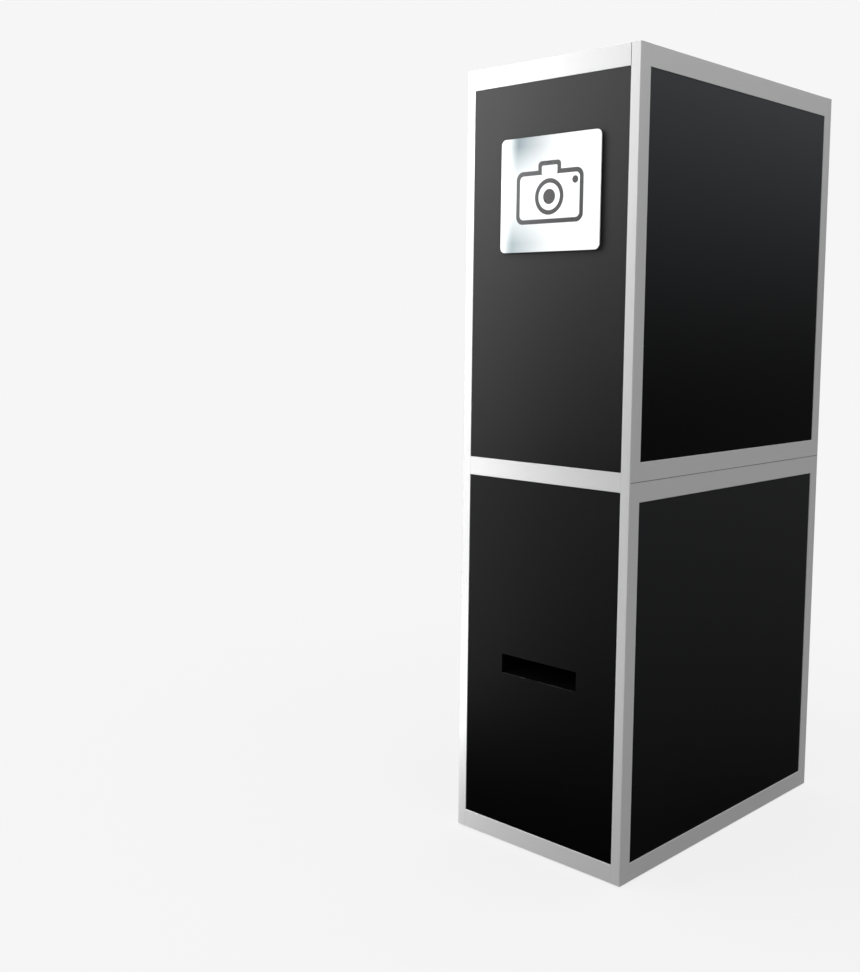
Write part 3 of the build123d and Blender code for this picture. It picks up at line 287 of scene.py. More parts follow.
def build_drawn_grain():
    group, entry, leave = new_group(
        "drawn_grain", {"Streaks": (900.0, 900.0, 8.0), "Contrast": 0.05}, ["Shade", "Height"]
    )
    stretch = group.nodes.new("ShaderNodeVectorMath")
    stretch.operation = "MULTIPLY"
    group.links.new(own_place(group), stretch.inputs[0])
    group.links.new(entry.outputs["Streaks"], stretch.inputs[1])
    streak = noise_of(group, stretch.outputs["Vector"], 1.0, detail=4.0, roughness=0.7)
    centred = math_node(group, "SUBTRACT", streak, 0.5)
    swing = math_node(group, "MULTIPLY", centred, entry.outputs["Contrast"])
    group.links.new(math_node(group, "ADD", swing, 1.0), leave.inputs["Shade"])
    group.links.new(streak, leave.inputs["Height"])
    return group


DRAWN_GRAIN = build_drawn_grain()
print("group", DRAWN_GRAIN.name)

# %% Rubbed edges: bright where hands and trolleys touch
EDGE_TURN = (0.995, 0.90)  # how far the surface turns: flat, then full edge
RUBBED_PATCH = (0.42, 0.62)  # noise between bare and rubbed


def build_rubbed_edges():
    group, entry, leave = new_group(
        "rubbed_edges", {"Width": 0.0012, "Breakup": 60.0, "Amount": 0.6}, ["Mask"]
    )
    rounded = group.nodes.new("ShaderNodeBevel")
    rounded.samples = 4
    group.links.new(entry.outputs["Width"], rounded.inputs["Radius"])
    plain = group.nodes.new("ShaderNodeNewGeometry")
    same = group.nodes.new("ShaderNodeVectorMath")
    same.operation = "DOT_PRODUCT"
    group.links.new(rounded.outputs["Normal"], same.inputs[0])
    group.links.new(plain.outputs["Normal"], same.inputs[1])
    edge = ramp(group, same.outputs["Value"], *EDGE_TURN)
    patch = ramp(group, noise_of(group, own_place(group), entry.outputs["Breakup"]), *RUBBED_PATCH)
    broken = math_node(group, "MULTIPLY", edge, patch)
    group.links.new(math_node(group, "MULTIPLY", broken, entry.outputs["Amount"]), leave.inputs["Mask"])
    return group


RUBBED_EDGES = build_rubbed_edges()
print("group", RUBBED_EDGES.name)

# %% Handling clouds: slow changes of gloss


def build_handling_clouds():
    group, entry, leave = new_group("handling_clouds", {"Size": 6.0, "Swing": 0.08}, ["Offset"])
    slow = noise_of(group, own_place(group), entry.outputs["Size"], detail=5.0, roughness=0.62)
    centred = math_node(group, "SUBTRACT", slow, 0.5)
    group.links.new(math_node(group, "MULTIPLY", centred, entry.outputs["Swing"]), leave.inputs["Offset"])
    return group


HANDLING_CLOUDS = build_handling_clouds()
print("group", HANDLING_CLOUDS.name)

# %% Settled dust: only on faces that look up
LEVEL_FACE = (0.75, 0.98)  # upward part of the normal: none, then full dust
DUSTY_PATCH = (0.35, 0.70)


def build_settled_dust():
    group, entry, leave = new_group("settled_dust", {"Amount": 0.25, "Size": 35.0}, ["Mask"])
    plain = group.nodes.new("ShaderNodeNewGeometry")
    parts = group.nodes.new("ShaderNodeSeparateXYZ")
    group.links.new(plain.outputs["Normal"], parts.inputs["Vector"])
    level = ramp(group, parts.outputs["Z"], *LEVEL_FACE)
    drift = noise_of(group, own_place(group), entry.outputs["Size"], 6.0, 0.7)
    lying = math_node(group, "MULTIPLY", level, ramp(group, drift, *DUSTY_PATCH))
    group.links.new(math_node(group, "MULTIPLY", lying, entry.outputs["Amount"]), leave.inputs["Mask"])
    return group


SETTLED_DUST = build_settled_dust()
print("group", SETTLED_DUST.name)

# %% Moulded pebble: the fine skin of textured plastic


def build_moulded_pebble():
    group, entry, leave = new_group("moulded_pebble", {"Grains": 900.0}, ["Height"])
    cells = group.nodes.new("ShaderNodeTexVoronoi")
    cells.feature = "SMOOTH_F1"
    cells.inputs["Smoothness"].default_value = 0.6
    group.links.new(own_place(group), cells.inputs["Vector"])
    group.links.new(entry.outputs["Grains"], cells.inputs["Scale"])
    group.links.new(cells.outputs["Distance"], leave.inputs["Height"])
    return group


MOULDED_PEBBLE = build_moulded_pebble()
print("group", MOULDED_PEBBLE.name)

# %% Height fade: from a panel's foot to its top


# This fade carries the painted sheen of the black panels: their colour is lighter towards the top.
def build_height_fade():
    group, entry, leave = new_group("height_fade", {"Foot": 0.0, "Top": 1.0, "Curve": 1.0}, ["Fade"])
    parts = group.nodes.new("ShaderNodeSeparateXYZ")
    group.links.new(own_place(group), parts.inputs["Vector"])
    rise = math_node(group, "SUBTRACT", parts.outputs["Z"], entry.outputs["Foot"])
    span = math_node(group, "SUBTRACT", entry.outputs["Top"], entry.outputs["Foot"])
    share = math_node(group, "DIVIDE", rise, span)
    clamped = math_node(group, "MINIMUM", math_node(group, "MAXIMUM", share, 0.0), 1.0)
    group.links.new(math_node(group, "POWER", clamped, entry.outputs["Curve"]), leave.inputs["Fade"])
    return group


HEIGHT_FADE = build_height_fade()
print("group", HEIGHT_FADE.name)

# %% [markdown]
# ## Starting a material
# Each finish is one Principled shader. Values that hold all over a surface sit on its own
# sockets; only what changes over the surface comes through nodes. These helpers keep each
# recipe short enough to read as a list of what the real finish is made of.

# %% Start a material and place a group in it


def place_group(tree, group, **values):
    """Places a shared group in a material with this material's own values."""
    node = tree.nodes.new("ShaderNodeGroup")
    node.node_tree = group
    for label, value in values.items():
        node.inputs[label.replace("_", " ")].default_value = value
    return node


def start_material(name, roughness=0.5, metallic=0.0, **sockets):
    """A material with its Principled shader; constant values go straight on its sockets."""
    made = bpy.data.materials.new(name)
    made.use_nodes = True
    shader = made.node_tree.nodes["Principled BSDF"]
    shader.inputs["Roughness"].default_value = roughness
    shader.inputs["Metallic"].default_value = metallic
    for label, value in sockets.items():
        shader.inputs[label.replace("_", " ")].default_value = value
    return made, made.node_tree, shader


# %% Mix colours, shade them, and set bump and roughness


def mix_colours(tree, factor, first, second):
    """Mixes two colours by a factor socket; each colour is a socket or an (r, g, b)."""
    node = tree.nodes.new("ShaderNodeMix")
    node.data_type = "RGBA"
    tree.links.new(factor, node.inputs["Factor"])
    for socket, value in zip((node.inputs[6], node.inputs[7]), (first, second)):
        if isinstance(value, tuple):
            socket.default_value = (*value, 1.0)
        else:
            tree.links.new(value, socket)
    return node.outputs[2]


def shaded(tree, colour, shade):
    """A colour made lighter or darker by a shade that swings round 1."""
    node = tree.nodes.new("ShaderNodeVectorMath")
    node.operation = "SCALE"
    if isinstance(colour, tuple):
        node.inputs[0].default_value = colour
    else:
        tree.links.new(colour, node.inputs[0])
    tree.links.new(shade, node.inputs["Scale"])
    return node.outputs["Vector"]


def bump(tree, shader, height, distance, strength):
    """Bends the shader's normal by a height; distance is how deep it goes, in metres."""
    node = tree.nodes.new("ShaderNodeBump")
    node.inputs["Distance"].default_value = distance
    node.inputs["Strength"].default_value = strength
    tree.links.new(height, node.inputs["Height"])
    tree.links.new(node.outputs["Normal"], shader.inputs["Normal"])


def vary_roughness(tree, shader, base, *offsets):
    """Roughness is a base value plus the offsets that the shared groups give."""
    total = base
    for offset in offsets:
        total = math_node(tree, "ADD", total, offset)
    tree.links.new(total, shader.inputs["Roughness"])


# %% [markdown]
# ## Silver frame
# The frame is drawn aluminium, bead-blasted and anodised, so it is half mirror and half
# chalk: bright where the soft box reaches it, flat grey elsewhere. Pure metal would
# reflect the room too clearly, so the metal is mixed with a pale base. The die leaves
# fine lines along each bar, which is why posts, side rails and end rails each get the
# grain along their own length.

# %% Drawn and blasted metal
LONG, FINE = 6.0, 1400.0
STREAKS = {"X": (LONG, FINE, FINE), "Y": (FINE, LONG, FINE), "Z": (FINE, FINE, LONG)}
METAL_DUST = (0.55, 0.53, 0.50)


def drawn_metal(name, colour, roughness, along, metallic, contrast, wear, dust=0.0):
    """Metal with grain along one axis, rubbed edges and, where there is any, dust."""
    made, tree, shader = start_material(name, roughness, metallic)
    grain = place_group(tree, DRAWN_GRAIN, Streaks=STREAKS[along], Contrast=contrast)
    clouds = place_group(tree, HANDLING_CLOUDS, Size=5.0, Swing=0.10)
    base = shaded(tree, colour, grain.outputs["Shade"])
    edges = place_group(tree, RUBBED_EDGES, Width=0.0010, Breakup=45.0, Amount=wear)
    bright = tuple(min(1.0, 0.35 + 0.65 * part) for part in colour)
    base = mix_colours(tree, edges.outputs["Mask"], base, bright)
    if dust:
        lying = place_group(tree, SETTLED_DUST, Amount=dust)
        base = mix_colours(tree, lying.outputs["Mask"], base, METAL_DUST)
    tree.links.new(base, shader.inputs["Base Color"])
    vary_roughness(tree, shader, roughness, clouds.outputs["Offset"])
    bump(tree, shader, grain.outputs["Height"], 0.00003, 0.35)
    return made


SILVER = (0.80, 0.80, 0.80)
frame_finish = {
    axis: drawn_metal(f"anodised_along_{axis.lower()}", SILVER, 0.48, axis, 0.30, 0.05, 0.3, 0.15)
    for axis in "XYZ"
}
print(len(frame_finish), "anodised finishes")

# %% [markdown]
# ## Black panels
# The infill is sheet faced with a satin black laminate. From top to foot each sheet goes
# from charcoal to black, as the face turns away from the light above. Light alone gives
# part of that; the rest is painted sheen: the laminate's colour is painted lighter towards
# the top, set by the height of each module's opening. The skin has a fine pebble and faint
# cloudy handling marks.
# The faces that mirror the bright side least take a weaker mirror strength.

# %% Black laminate
LAMINATE_ROUGHNESS = 0.42
LAMINATE_PAINTED_SHEEN = {
    # sheet: (tone at its foot, painted sheen tone at its top, how fast it darkens, mirror strength)
    "upper_front_panel": ((0.0070, 0.0070, 0.0072), (0.056, 0.056, 0.057), 0.85, 0.15),
    "upper_right_panel": ((0.0004, 0.0004, 0.0004), (0.066, 0.069, 0.076), 1.80, 0.08),
    "lower_front_panel": ((0.0003, 0.0003, 0.0003), (0.0145, 0.0147, 0.0153), 1.20, 0.06),
    "lower_right_panel": ((0.0003, 0.0003, 0.0003), (0.022, 0.0225, 0.0240), 1.10, 0.10),
}
SAME_SHEET = {
    # the faces away from the plate are cut from the same sheets
    "upper_door_panel": "upper_front_panel",
    "lower_door_panel": "lower_front_panel",
    "camera_fascia": "upper_right_panel",
    "lower_left_panel": "lower_right_panel",
}


def black_laminate(name, foot, top, tone_and_sheen, curve=1.0, mirror=0.15, dusty=0.22):
    """Colour goes from the first of tone_and_sheen at the foot height to the second at the top; a lighter
    top is painted sheen.
    """
    made, tree, shader = start_material(name, LAMINATE_ROUGHNESS, Specular_IOR_Level=mirror)
    fade = place_group(tree, HEIGHT_FADE, Foot=foot, Top=top, Curve=curve)
    clouds = place_group(tree, HANDLING_CLOUDS, Size=9.0, Swing=0.09)
    pebble = place_group(tree, MOULDED_PEBBLE, Grains=1300.0)
    edges = place_group(tree, RUBBED_EDGES, Width=0.0006, Breakup=30.0, Amount=0.12)
    dust = place_group(tree, SETTLED_DUST, Amount=dusty, Size=22.0)
    # painted sheen: the colour is lighter towards the top of the sheet and fades down it
    tone = mix_colours(tree, fade.outputs["Fade"], *tone_and_sheen)
    speck = ramp(tree, pebble.outputs["Height"], 0.0, 0.9, 0.90, 1.10, smooth=False)
    tone = shaded(tree, tone, speck)
    tone = mix_colours(tree, edges.outputs["Mask"], tone, (0.10, 0.10, 0.10))
    tone = mix_colours(tree, dust.outputs["Mask"], tone, (0.30, 0.29, 0.28))
    tree.links.new(tone, shader.inputs["Base Color"])
    vary_roughness(tree, shader, LAMINATE_ROUGHNESS, clouds.outputs["Offset"])
    bump(tree, shader, pebble.outputs["Height"], 0.00004, 0.30)
    return made


def sheet_finish(sheet):
    low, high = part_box(sheet)
    foot, top, curve, mirror = LAMINATE_PAINTED_SHEEN[sheet]
    return black_laminate(f"black_laminate_{sheet}", low.z, high.z, (foot, top), curve, mirror)


laminate = {sheet: sheet_finish(sheet) for sheet in LAMINATE_PAINTED_SHEEN}
laminate.update({sheet: laminate[same] for sheet, same in SAME_SHEET.items()})
LEVEL_TONE = (0.0045, 0.0045, 0.0047)  # roof and deck, the same all over
level_laminate = black_laminate("black_laminate_level", 0.0, 1.0, (LEVEL_TONE, LEVEL_TONE), dusty=0.05)
print(len(laminate), "upright sheets")

# %% [markdown]
# ## Name plate
# The plate is bright brushed stainless. A soft cool band down its left side is a painted
# reflection, strongest at the top and bottom and almost gone at mid height, and the steel
# is painted a little lighter towards its foot to even out the light that falls off
# downward. A band painted as a picture would need its own unwrapping, so it is worked out
# from the plate's own width and height. The camera outline is a dark inlay, flush with the face.

# %% Plate and inlay
BAND_LEAN = 0.06  # the painted reflection band leans with the light; all of these are shares of the plate
BAND_RISE = (-0.05, 0.13)
BAND_FALL = (0.13, 0.66)
BAND_ENDS = (0.08, 0.42)  # from mid height: where the band starts to show, and is full
BAND_MIDDLE = 0.24  # its strength at mid height
PLATE_METAL, PLATE_ROUGHNESS = 0.70, 0.52
STEEL_AND_PAINTED_LIGHT_TONES = ((1.0, 1.0, 1.0), (0.90, 0.90, 0.90))  # at the foot, at the top; the foot is painted lighter to even out the light that falls off downward
# painted reflection: the cool band's tones, at the foot and at the top
PAINTED_REFLECTION_TONES = ((0.36, 0.42, 0.44), (0.22, 0.27, 0.29))


def plate_steel():
    made, tree, shader = start_material("plate_steel", PLATE_ROUGHNESS, PLATE_METAL)
    low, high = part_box("name_plate")
    width, height = high.x - low.x, high.z - low.z
    parts = tree.nodes.new("ShaderNodeSeparateXYZ")
    tree.links.new(own_place(tree), parts.inputs["Vector"])
    across = math_node(tree, "DIVIDE", math_node(tree, "SUBTRACT", parts.outputs["X"], low.x), width)
    up = math_node(tree, "DIVIDE", math_node(tree, "SUBTRACT", parts.outputs["Z"], low.z), height)
    leaning = math_node(tree, "SUBTRACT", across, math_node(tree, "MULTIPLY", up, BAND_LEAN))
    rise = ramp(tree, leaning, *BAND_RISE)
    fall = ramp(tree, leaning, *BAND_FALL, 1.0, 0.0, smooth=False)
    from_middle = math_node(tree, "ABSOLUTE", math_node(tree, "SUBTRACT", up, 0.5))
    ends = ramp(tree, from_middle, *BAND_ENDS, BAND_MIDDLE, 1.0, smooth=False)
    # the band is a painted reflection, strongest at the top and bottom of the plate
    band = math_node(tree, "MULTIPLY", math_node(tree, "MULTIPLY", rise, fall), ends)
    grain = place_group(tree, DRAWN_GRAIN, Streaks=STREAKS["Z"], Contrast=0.04)
    clouds = place_group(tree, HANDLING_CLOUDS, Size=14.0, Swing=0.08)
    edges = place_group(tree, RUBBED_EDGES, Width=0.0008, Breakup=90.0, Amount=0.5)
    # painted light: the steel is lighter at its foot, and the band mixes in the painted reflection
    tone = mix_colours(tree, band, mix_colours(tree, up, *STEEL_AND_PAINTED_LIGHT_TONES), mix_colours(tree, up, *PAINTED_REFLECTION_TONES))
    tone = shaded(tree, tone, grain.outputs["Shade"])
    tone = mix_colours(tree, edges.outputs["Mask"], tone, (0.45, 0.46, 0.48))
    tree.links.new(tone, shader.inputs["Base Color"])
    vary_roughness(tree, shader, PLATE_ROUGHNESS, clouds.outputs["Offset"])
    bump(tree, shader, grain.outputs["Height"], 0.00002, 0.3)
    return made


PLASTIC_DUST = (0.45, 0.44, 0.42)


def moulded(name, colour, roughness, grains, depth=0.00008, swing=0.08, dust=0.15, **sockets):
    """Moulded plastic or rubber: a pebbled skin, cloudy gloss, rubbed edges, some dust."""
    made, tree, shader = start_material(name, roughness, **sockets)
    pebble = place_group(tree, MOULDED_PEBBLE, Grains=grains)
    clouds = place_group(tree, HANDLING_CLOUDS, Size=18.0, Swing=swing)
    edges = place_group(tree, RUBBED_EDGES, Width=0.0007, Breakup=80.0, Amount=0.25)
    lying = place_group(tree, SETTLED_DUST, Amount=dust)
    speck = ramp(tree, pebble.outputs["Height"], 0.0, 0.9, 0.93, 1.07, smooth=False)
    tone = shaded(tree, colour, speck)
    pale = tuple(0.12 + 0.88 * part for part in colour)
    tone = mix_colours(tree, edges.outputs["Mask"], tone, pale)
    tone = mix_colours(tree, lying.outputs["Mask"], tone, PLASTIC_DUST)
    tree.links.new(tone, shader.inputs["Base Color"])
    vary_roughness(tree, shader, roughness, clouds.outputs["Offset"])
    bump(tree, shader, pebble.outputs["Height"], depth, 0.5)
    return made


plate_finish = plate_steel()
inlay_finish = moulded("plate_inlay", (0.052, 0.052, 0.055), 0.28, 2500.0, 0.00001, 0.05, 0.0)
print("plate and inlay")

# %% [markdown]
# ## Metal fittings
# Hinges and ledges are rolled sheet, dowels and pins are turned bar, locks are plated.
# They share the drawn-metal recipe with their own colour, gloss and grain direction, so
# they sit together as a family but still read as different parts.

# %% Fittings
metal = {
    "hinge": drawn_metal("hinge_stainless", (0.58, 0.58, 0.59), 0.33, "Z", 1.0, 0.08, 0.5),
    "lock": drawn_metal("lock_plating", (0.78, 0.78, 0.80), 0.16, "Y", 1.0, 0.02, 0.3),
    "zinc": drawn_metal("zinc_plate", (0.50, 0.52, 0.54), 0.42, "Y", 1.0, 0.12, 0.4, 0.2),
    "spacer": drawn_metal("turned_spacer", (0.72, 0.72, 0.73), 0.30, "Y", 1.0, 0.05, 0.3),
    "tray": drawn_metal("mill_tray", (0.66, 0.66, 0.67), 0.40, "Z", 1.0, 0.08, 0.3),
    "button": drawn_metal("button_chrome", (0.74, 0.74, 0.75), 0.22, "Z", 1.0, 0.03, 0.4),
    "brass": drawn_metal("pin_brass", (0.80, 0.60, 0.28), 0.28, "Y", 1.0, 0.05, 0.4),
}
plastic = {
    # painted shade: the chute is dark, and its colour and gloss are set darker still so the slot reads as
    # deep shade
    "chute": moulded(
        "chute_black", (0.0015, 0.0015, 0.0015), 0.9, 500.0, 0.0001, 0.05, 0.0, Specular_IOR_Level=0.02
    ),
    "nylon": moulded("black_nylon", (0.030, 0.030, 0.031), 0.52, 700.0),
    "rubber": moulded("black_rubber", (0.018, 0.018, 0.018), 0.74, 1100.0, 0.00010),
    "printer": moulded("printer_shell", (0.075, 0.076, 0.080), 0.50, 850.0, 0.00012),
    "screen": moulded("screen_shell", (0.040, 0.040, 0.043), 0.48, 900.0),
    "camera": moulded("camera_shell", (0.028, 0.028, 0.030), 0.46, 1500.0, 0.00012),
    "computer": moulded("computer_case", (0.060, 0.062, 0.066), 0.44, 1200.0),
    "fan": moulded("fan_plastic", (0.024, 0.024, 0.026), 0.40, 1000.0),
    "inlet": moulded("inlet_plastic", (0.020, 0.020, 0.021), 0.30, 1400.0, 0.00004),
    "rocker": moulded("rocker_red", (0.42, 0.020, 0.016), 0.24, 1600.0, 0.00003),
}
print(len(metal), "metals,", len(plastic), "plastics")

# %% [markdown]
# ## Shelves and floors
# The shelves are birch plywood. Its broad faces show a slow figure along the sheet, and
# its edges show the plies as thin dark and light layers. Both come from the part's own
# coordinates: the layers follow height, so they only show where a face stands upright.

# %% Birch plywood
PLY_PITCH = 0.0014  # thickness of one ply
PLY_DARK, PLY_LIGHT = (0.30, 0.19, 0.10), (0.60, 0.44, 0.27)
FIGURE_DARK, FIGURE_LIGHT = (0.56, 0.40, 0.24), (0.68, 0.52, 0.33)
WOOD_DUST = (0.55, 0.52, 0.47)


def birch_ply():
    made, tree, shader = start_material("birch_plywood", 0.55, Specular_IOR_Level=0.35)
    place = own_place(tree)
    parts = tree.nodes.new("ShaderNodeSeparateXYZ")
    tree.links.new(place, parts.inputs["Vector"])
    grain = place_group(tree, DRAWN_GRAIN, Streaks=(110.0, 5.0, 110.0), Contrast=0.55)
    figure = noise_of(tree, place, 7.0, 4.0)
    face = mix_colours(tree, ramp(tree, figure, 0.35, 0.65), FIGURE_DARK, FIGURE_LIGHT)
    face = shaded(tree, face, grain.outputs["Shade"])
    turns = math_node(tree, "MULTIPLY", parts.outputs["Z"], math.tau / 2 / PLY_PITCH)
    edge = mix_colours(tree, ramp(tree, math_node(tree, "SINE", turns), -0.3, 0.3), PLY_DARK, PLY_LIGHT)
    side = tree.nodes.new("ShaderNodeSeparateXYZ")
    tree.links.new(tree.nodes.new("ShaderNodeNewGeometry").outputs["Normal"], side.inputs["Vector"])
    level = ramp(tree, math_node(tree, "ABSOLUTE", side.outputs["Z"]), 0.6, 0.8)
    tone = mix_colours(tree, level, edge, face)
    lying = place_group(tree, SETTLED_DUST, Amount=0.18, Size=12.0)
    tone = mix_colours(tree, lying.outputs["Mask"], tone, WOOD_DUST)
    tree.links.new(tone, shader.inputs["Base Color"])
    clouds = place_group(tree, HANDLING_CLOUDS, Size=10.0, Swing=0.12)
    vary_roughness(tree, shader, 0.55, clouds.outputs["Offset"])
    bump(tree, shader, grain.outputs["Height"], 0.00012, 0.5)
    return made


plywood = birch_ply()
print("plywood")

# %% [markdown]
# ## Paper, glass and diffusers
# The paper roll is thousands of turns of thin coated paper: its rim is smooth and white,
# its ends show fine rings. Ring spacing is far below a printed dot, so a coarser ring
# pattern stands for it. The window is clear glass, the touch screen is dark glass with a
# printed border, and the light diffusers are opal acrylic with a slightly uneven glow.

# %% Paper roll
RING_PITCH = 0.0011
CORE_EDGE = (0.0062, 0.0068)  # radius where the dark core ends and paper begins


def rolled_paper():
    made, tree, shader = start_material("rolled_paper", 0.50, Sheen_Weight=0.1)
    low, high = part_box("printer_paper_roll")
    middle = (low + high) / 2
    shift = tree.nodes.new("ShaderNodeVectorMath")
    shift.operation = "SUBTRACT"
    shift.inputs[1].default_value = middle
    tree.links.new(own_place(tree), shift.inputs[0])
    flat = tree.nodes.new("ShaderNodeVectorMath")
    flat.operation = "MULTIPLY"
    flat.inputs[1].default_value = (0.0, 1.0, 1.0)
    tree.links.new(shift.outputs["Vector"], flat.inputs[0])
    reach = tree.nodes.new("ShaderNodeVectorMath")
    reach.operation = "LENGTH"
    tree.links.new(flat.outputs["Vector"], reach.inputs[0])
    turns = math_node(tree, "MULTIPLY", reach.outputs["Value"], math.tau / RING_PITCH)
    rings = math_node(tree, "SINE", turns)
    wander = noise_of(tree, shift.outputs["Vector"], 60.0)
    ringed = math_node(tree, "ADD", math_node(tree, "MULTIPLY", rings, 0.25), wander)
    paper = mix_colours(tree, ramp(tree, ringed, 0.2, 0.8), (0.70, 0.69, 0.66), (0.88, 0.88, 0.86))
    core = ramp(tree, reach.outputs["Value"], *CORE_EDGE)
    tone = mix_colours(tree, core, (0.05, 0.05, 0.055), paper)
    tree.links.new(tone, shader.inputs["Base Color"])
    bump(tree, shader, rings, 0.00005, 0.3)
    return made


paper = rolled_paper()
print("paper")

# %% Glass and acrylic
SCREEN_BORDER = (0.026, 0.022)  # printed border at the sides, and above and below
OPAL_TONES = ((0.88, 0.88, 0.87), (0.95, 0.95, 0.945))


def clear_glass(name, tint, roughness):
    made, tree, shader = start_material(name, roughness, Transmission_Weight=1.0, IOR=1.5)
    clouds = place_group(tree, HANDLING_CLOUDS, Size=25.0, Swing=0.10)
    duller = tuple(0.96 * part for part in tint)
    tone = mix_colours(tree, ramp(tree, clouds.outputs["Offset"], -0.05, 0.05), tint, duller)
    tree.links.new(tone, shader.inputs["Base Color"])
    smear = math_node(tree, "ABSOLUTE", clouds.outputs["Offset"])
    vary_roughness(tree, shader, roughness, smear)
    return made


def screen_front():
    made, tree, shader = start_material("touch_screen_glass", 0.07, Coat_Weight=0.6, Coat_Roughness=0.03)
    low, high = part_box("screen_glass")
    middle = (low + high) / 2
    parts = tree.nodes.new("ShaderNodeSeparateXYZ")
    tree.links.new(own_place(tree), parts.inputs["Vector"])
    past_edge = []  # how far a point is past the active area, along Y and along Z
    for axis, border in zip("YZ", SCREEN_BORDER):
        centre, half = getattr(middle, axis.lower()), getattr(high - low, axis.lower()) / 2
        off = math_node(tree, "ABSOLUTE", math_node(tree, "SUBTRACT", parts.outputs[axis], centre))
        past_edge.append(math_node(tree, "SUBTRACT", off, half - border))
    mask = ramp(tree, math_node(tree, "MAXIMUM", *past_edge), -0.0006, 0.0006)
    tone = mix_colours(tree, mask, (0.018, 0.020, 0.026), (0.004, 0.004, 0.004))
    tree.links.new(tone, shader.inputs["Base Color"])
    smears = place_group(tree, HANDLING_CLOUDS, Size=22.0, Swing=0.16)
    vary_roughness(tree, shader, 0.07, math_node(tree, "ABSOLUTE", smears.outputs["Offset"]))
    return made


def opal_acrylic():
    made, tree, shader = start_material("opal_acrylic", 0.32, Coat_Weight=0.3)
    clouds = place_group(tree, HANDLING_CLOUDS, Size=4.0, Swing=0.4)
    tone = mix_colours(tree, ramp(tree, clouds.outputs["Offset"], -0.15, 0.15), *OPAL_TONES)
    tree.links.new(tone, shader.inputs["Base Color"])
    fine = place_group(tree, HANDLING_CLOUDS, Size=30.0, Swing=0.08)
    vary_roughness(tree, shader, 0.32, fine.outputs["Offset"])
    return made


def coated_lens():
    made, tree, shader = start_material("coated_lens", 0.03, Coat_Weight=1.0, Coat_Roughness=0.01)
    smears = place_group(tree, HANDLING_CLOUDS, Size=80.0, Swing=0.03)
    drift = ramp(tree, smears.outputs["Offset"], -0.008, 0.008)
    # painted sheen: the violet tint is the coating's reflection, painted into the lens's dark colour
    tone = mix_colours(tree, drift, (0.006, 0.004, 0.014), (0.020, 0.009, 0.042))
    tree.links.new(tone, shader.inputs["Base Color"])
    vary_roughness(tree, shader, 0.03, math_node(tree, "ABSOLUTE", smears.outputs["Offset"]))
    return made


glass = {
    "window": clear_glass("camera_window_glass", (0.90, 0.92, 0.93), 0.02),
    "screen": screen_front(),
    "opal": opal_acrylic(),
    "lens": coated_lens(),
}
print(len(glass), "glasses and acrylics")

# %% [markdown]
# ## Giving every part its finish
# Each CAD part takes one finish. A sheet sawn from stock never has a razor edge, so the
# parts that are plain sheets also get a small edge rounding with a modifier, which
# leaves the mesh itself as it is.

# %% Finishes by part
finish_of = {}
for part in ("lower", "upper"):
    finish_of[f"{part}_posts"] = frame_finish["Z"]
    finish_of[f"{part}_side_rails"] = frame_finish["Y"]
    finish_of[f"{part}_end_rails"] = frame_finish["X"]
    for fitting in ("hinge_frame_leaves", "hinge_door_leaves", "hinge_pins"):
        finish_of[f"{part}_{fitting}"] = metal["hinge"]
    finish_of[f"{part}_lock_body"] = finish_of[f"{part}_lock_cam"] = metal["lock"]
    finish_of[f"{part}_post_plugs"] = plastic["nylon"]
    finish_of[f"{part}_floor_panel"] = plywood
    finish_of[f"{part}_shelf_ledges"] = metal["zinc"]
finish_of.update(laminate)
finish_of.update(
    roof_panel=level_laminate,
    lower_deck_panel=level_laminate,
    name_plate=plate_finish,
    name_plate_pictogram=inlay_finish,
    name_plate_spacers=metal["spacer"],
    locating_dowels=metal["zinc"],
    base_feet=plastic["rubber"],
    print_chute=plastic["chute"],
    printer_shelf=plywood,
    camera_shelf=plywood,
    printer_case=plastic["printer"],
    printer_feed_roller=plastic["rubber"],
    printer_paper_roll=paper,
    camera_window=glass["window"],
    screen_glass=glass["screen"],
    screen_housing=plastic["screen"],
    light_diffusers=glass["opal"],
    led_panels=metal["tray"],
    camera_stand=metal["zinc"],
    camera_tilt_cradle=metal["zinc"],
    camera_body=plastic["camera"],
    lens_barrel=plastic["camera"],
    lens_glass=glass["lens"],
    zoom_ring=plastic["rubber"],
    shutter_button=metal["button"],
    booth_computer=plastic["computer"],
    fan_frame=plastic["fan"],
    fan_impeller=plastic["fan"],
    power_inlet=plastic["inlet"],
    power_rocker=plastic["rocker"],
)
EDGE_ROUND = {"name_plate": 0.0005, "printer_shelf": 0.0008, "camera_shelf": 0.0008}
for name in ("camera_fascia", "roof_panel", "lower_left_panel", *LAMINATE_PAINTED_SHEEN):
    EDGE_ROUND[name] = 0.0004


def round_edges(part, width):
    edge = part.modifiers.new("sawn_edge", "BEVEL")
    edge.width = width
    edge.segments = 2
    edge.limit_method = "ANGLE"
    edge.angle_limit = math.radians(50)


for name, part in nodes.items():
    part.data.materials.clear()
    part.data.materials.append(finish_of[name])
    if name in EDGE_ROUND:
        round_edges(part, EDGE_ROUND[name])
print(len(finish_of), "parts finished")

# %% [markdown]
# ## Small parts
# A CAD model stops at the parts that carry load. The real tower also has screws in its
# hinges, contact pins in its inlet and rubber lips round each opening of the guest face.
# These are built in mesh code as swept rings and lips, and each rides on the part that
# it is fixed to, so it follows when a door or the camera moves.

# %% Piece helpers


def ring_of(shape, points):
    """New corner points in mesh code, one for each point."""
    return [shape.verts.new(point) for point in points]


def bridge(shape, first, second):
    """Quads between two rings of equal length."""
    count = len(first)
    for i in range(count):
        j = (i + 1) % count
        shape.faces.new((first[i], first[j], second[j], second[i]))


def circle(radius, height, count=24):
    """Points round local Z at a height."""
    angles = [math.tau * i / count for i in range(count)]
    return [Vector((radius * math.cos(a), radius * math.sin(a), height)) for a in angles]


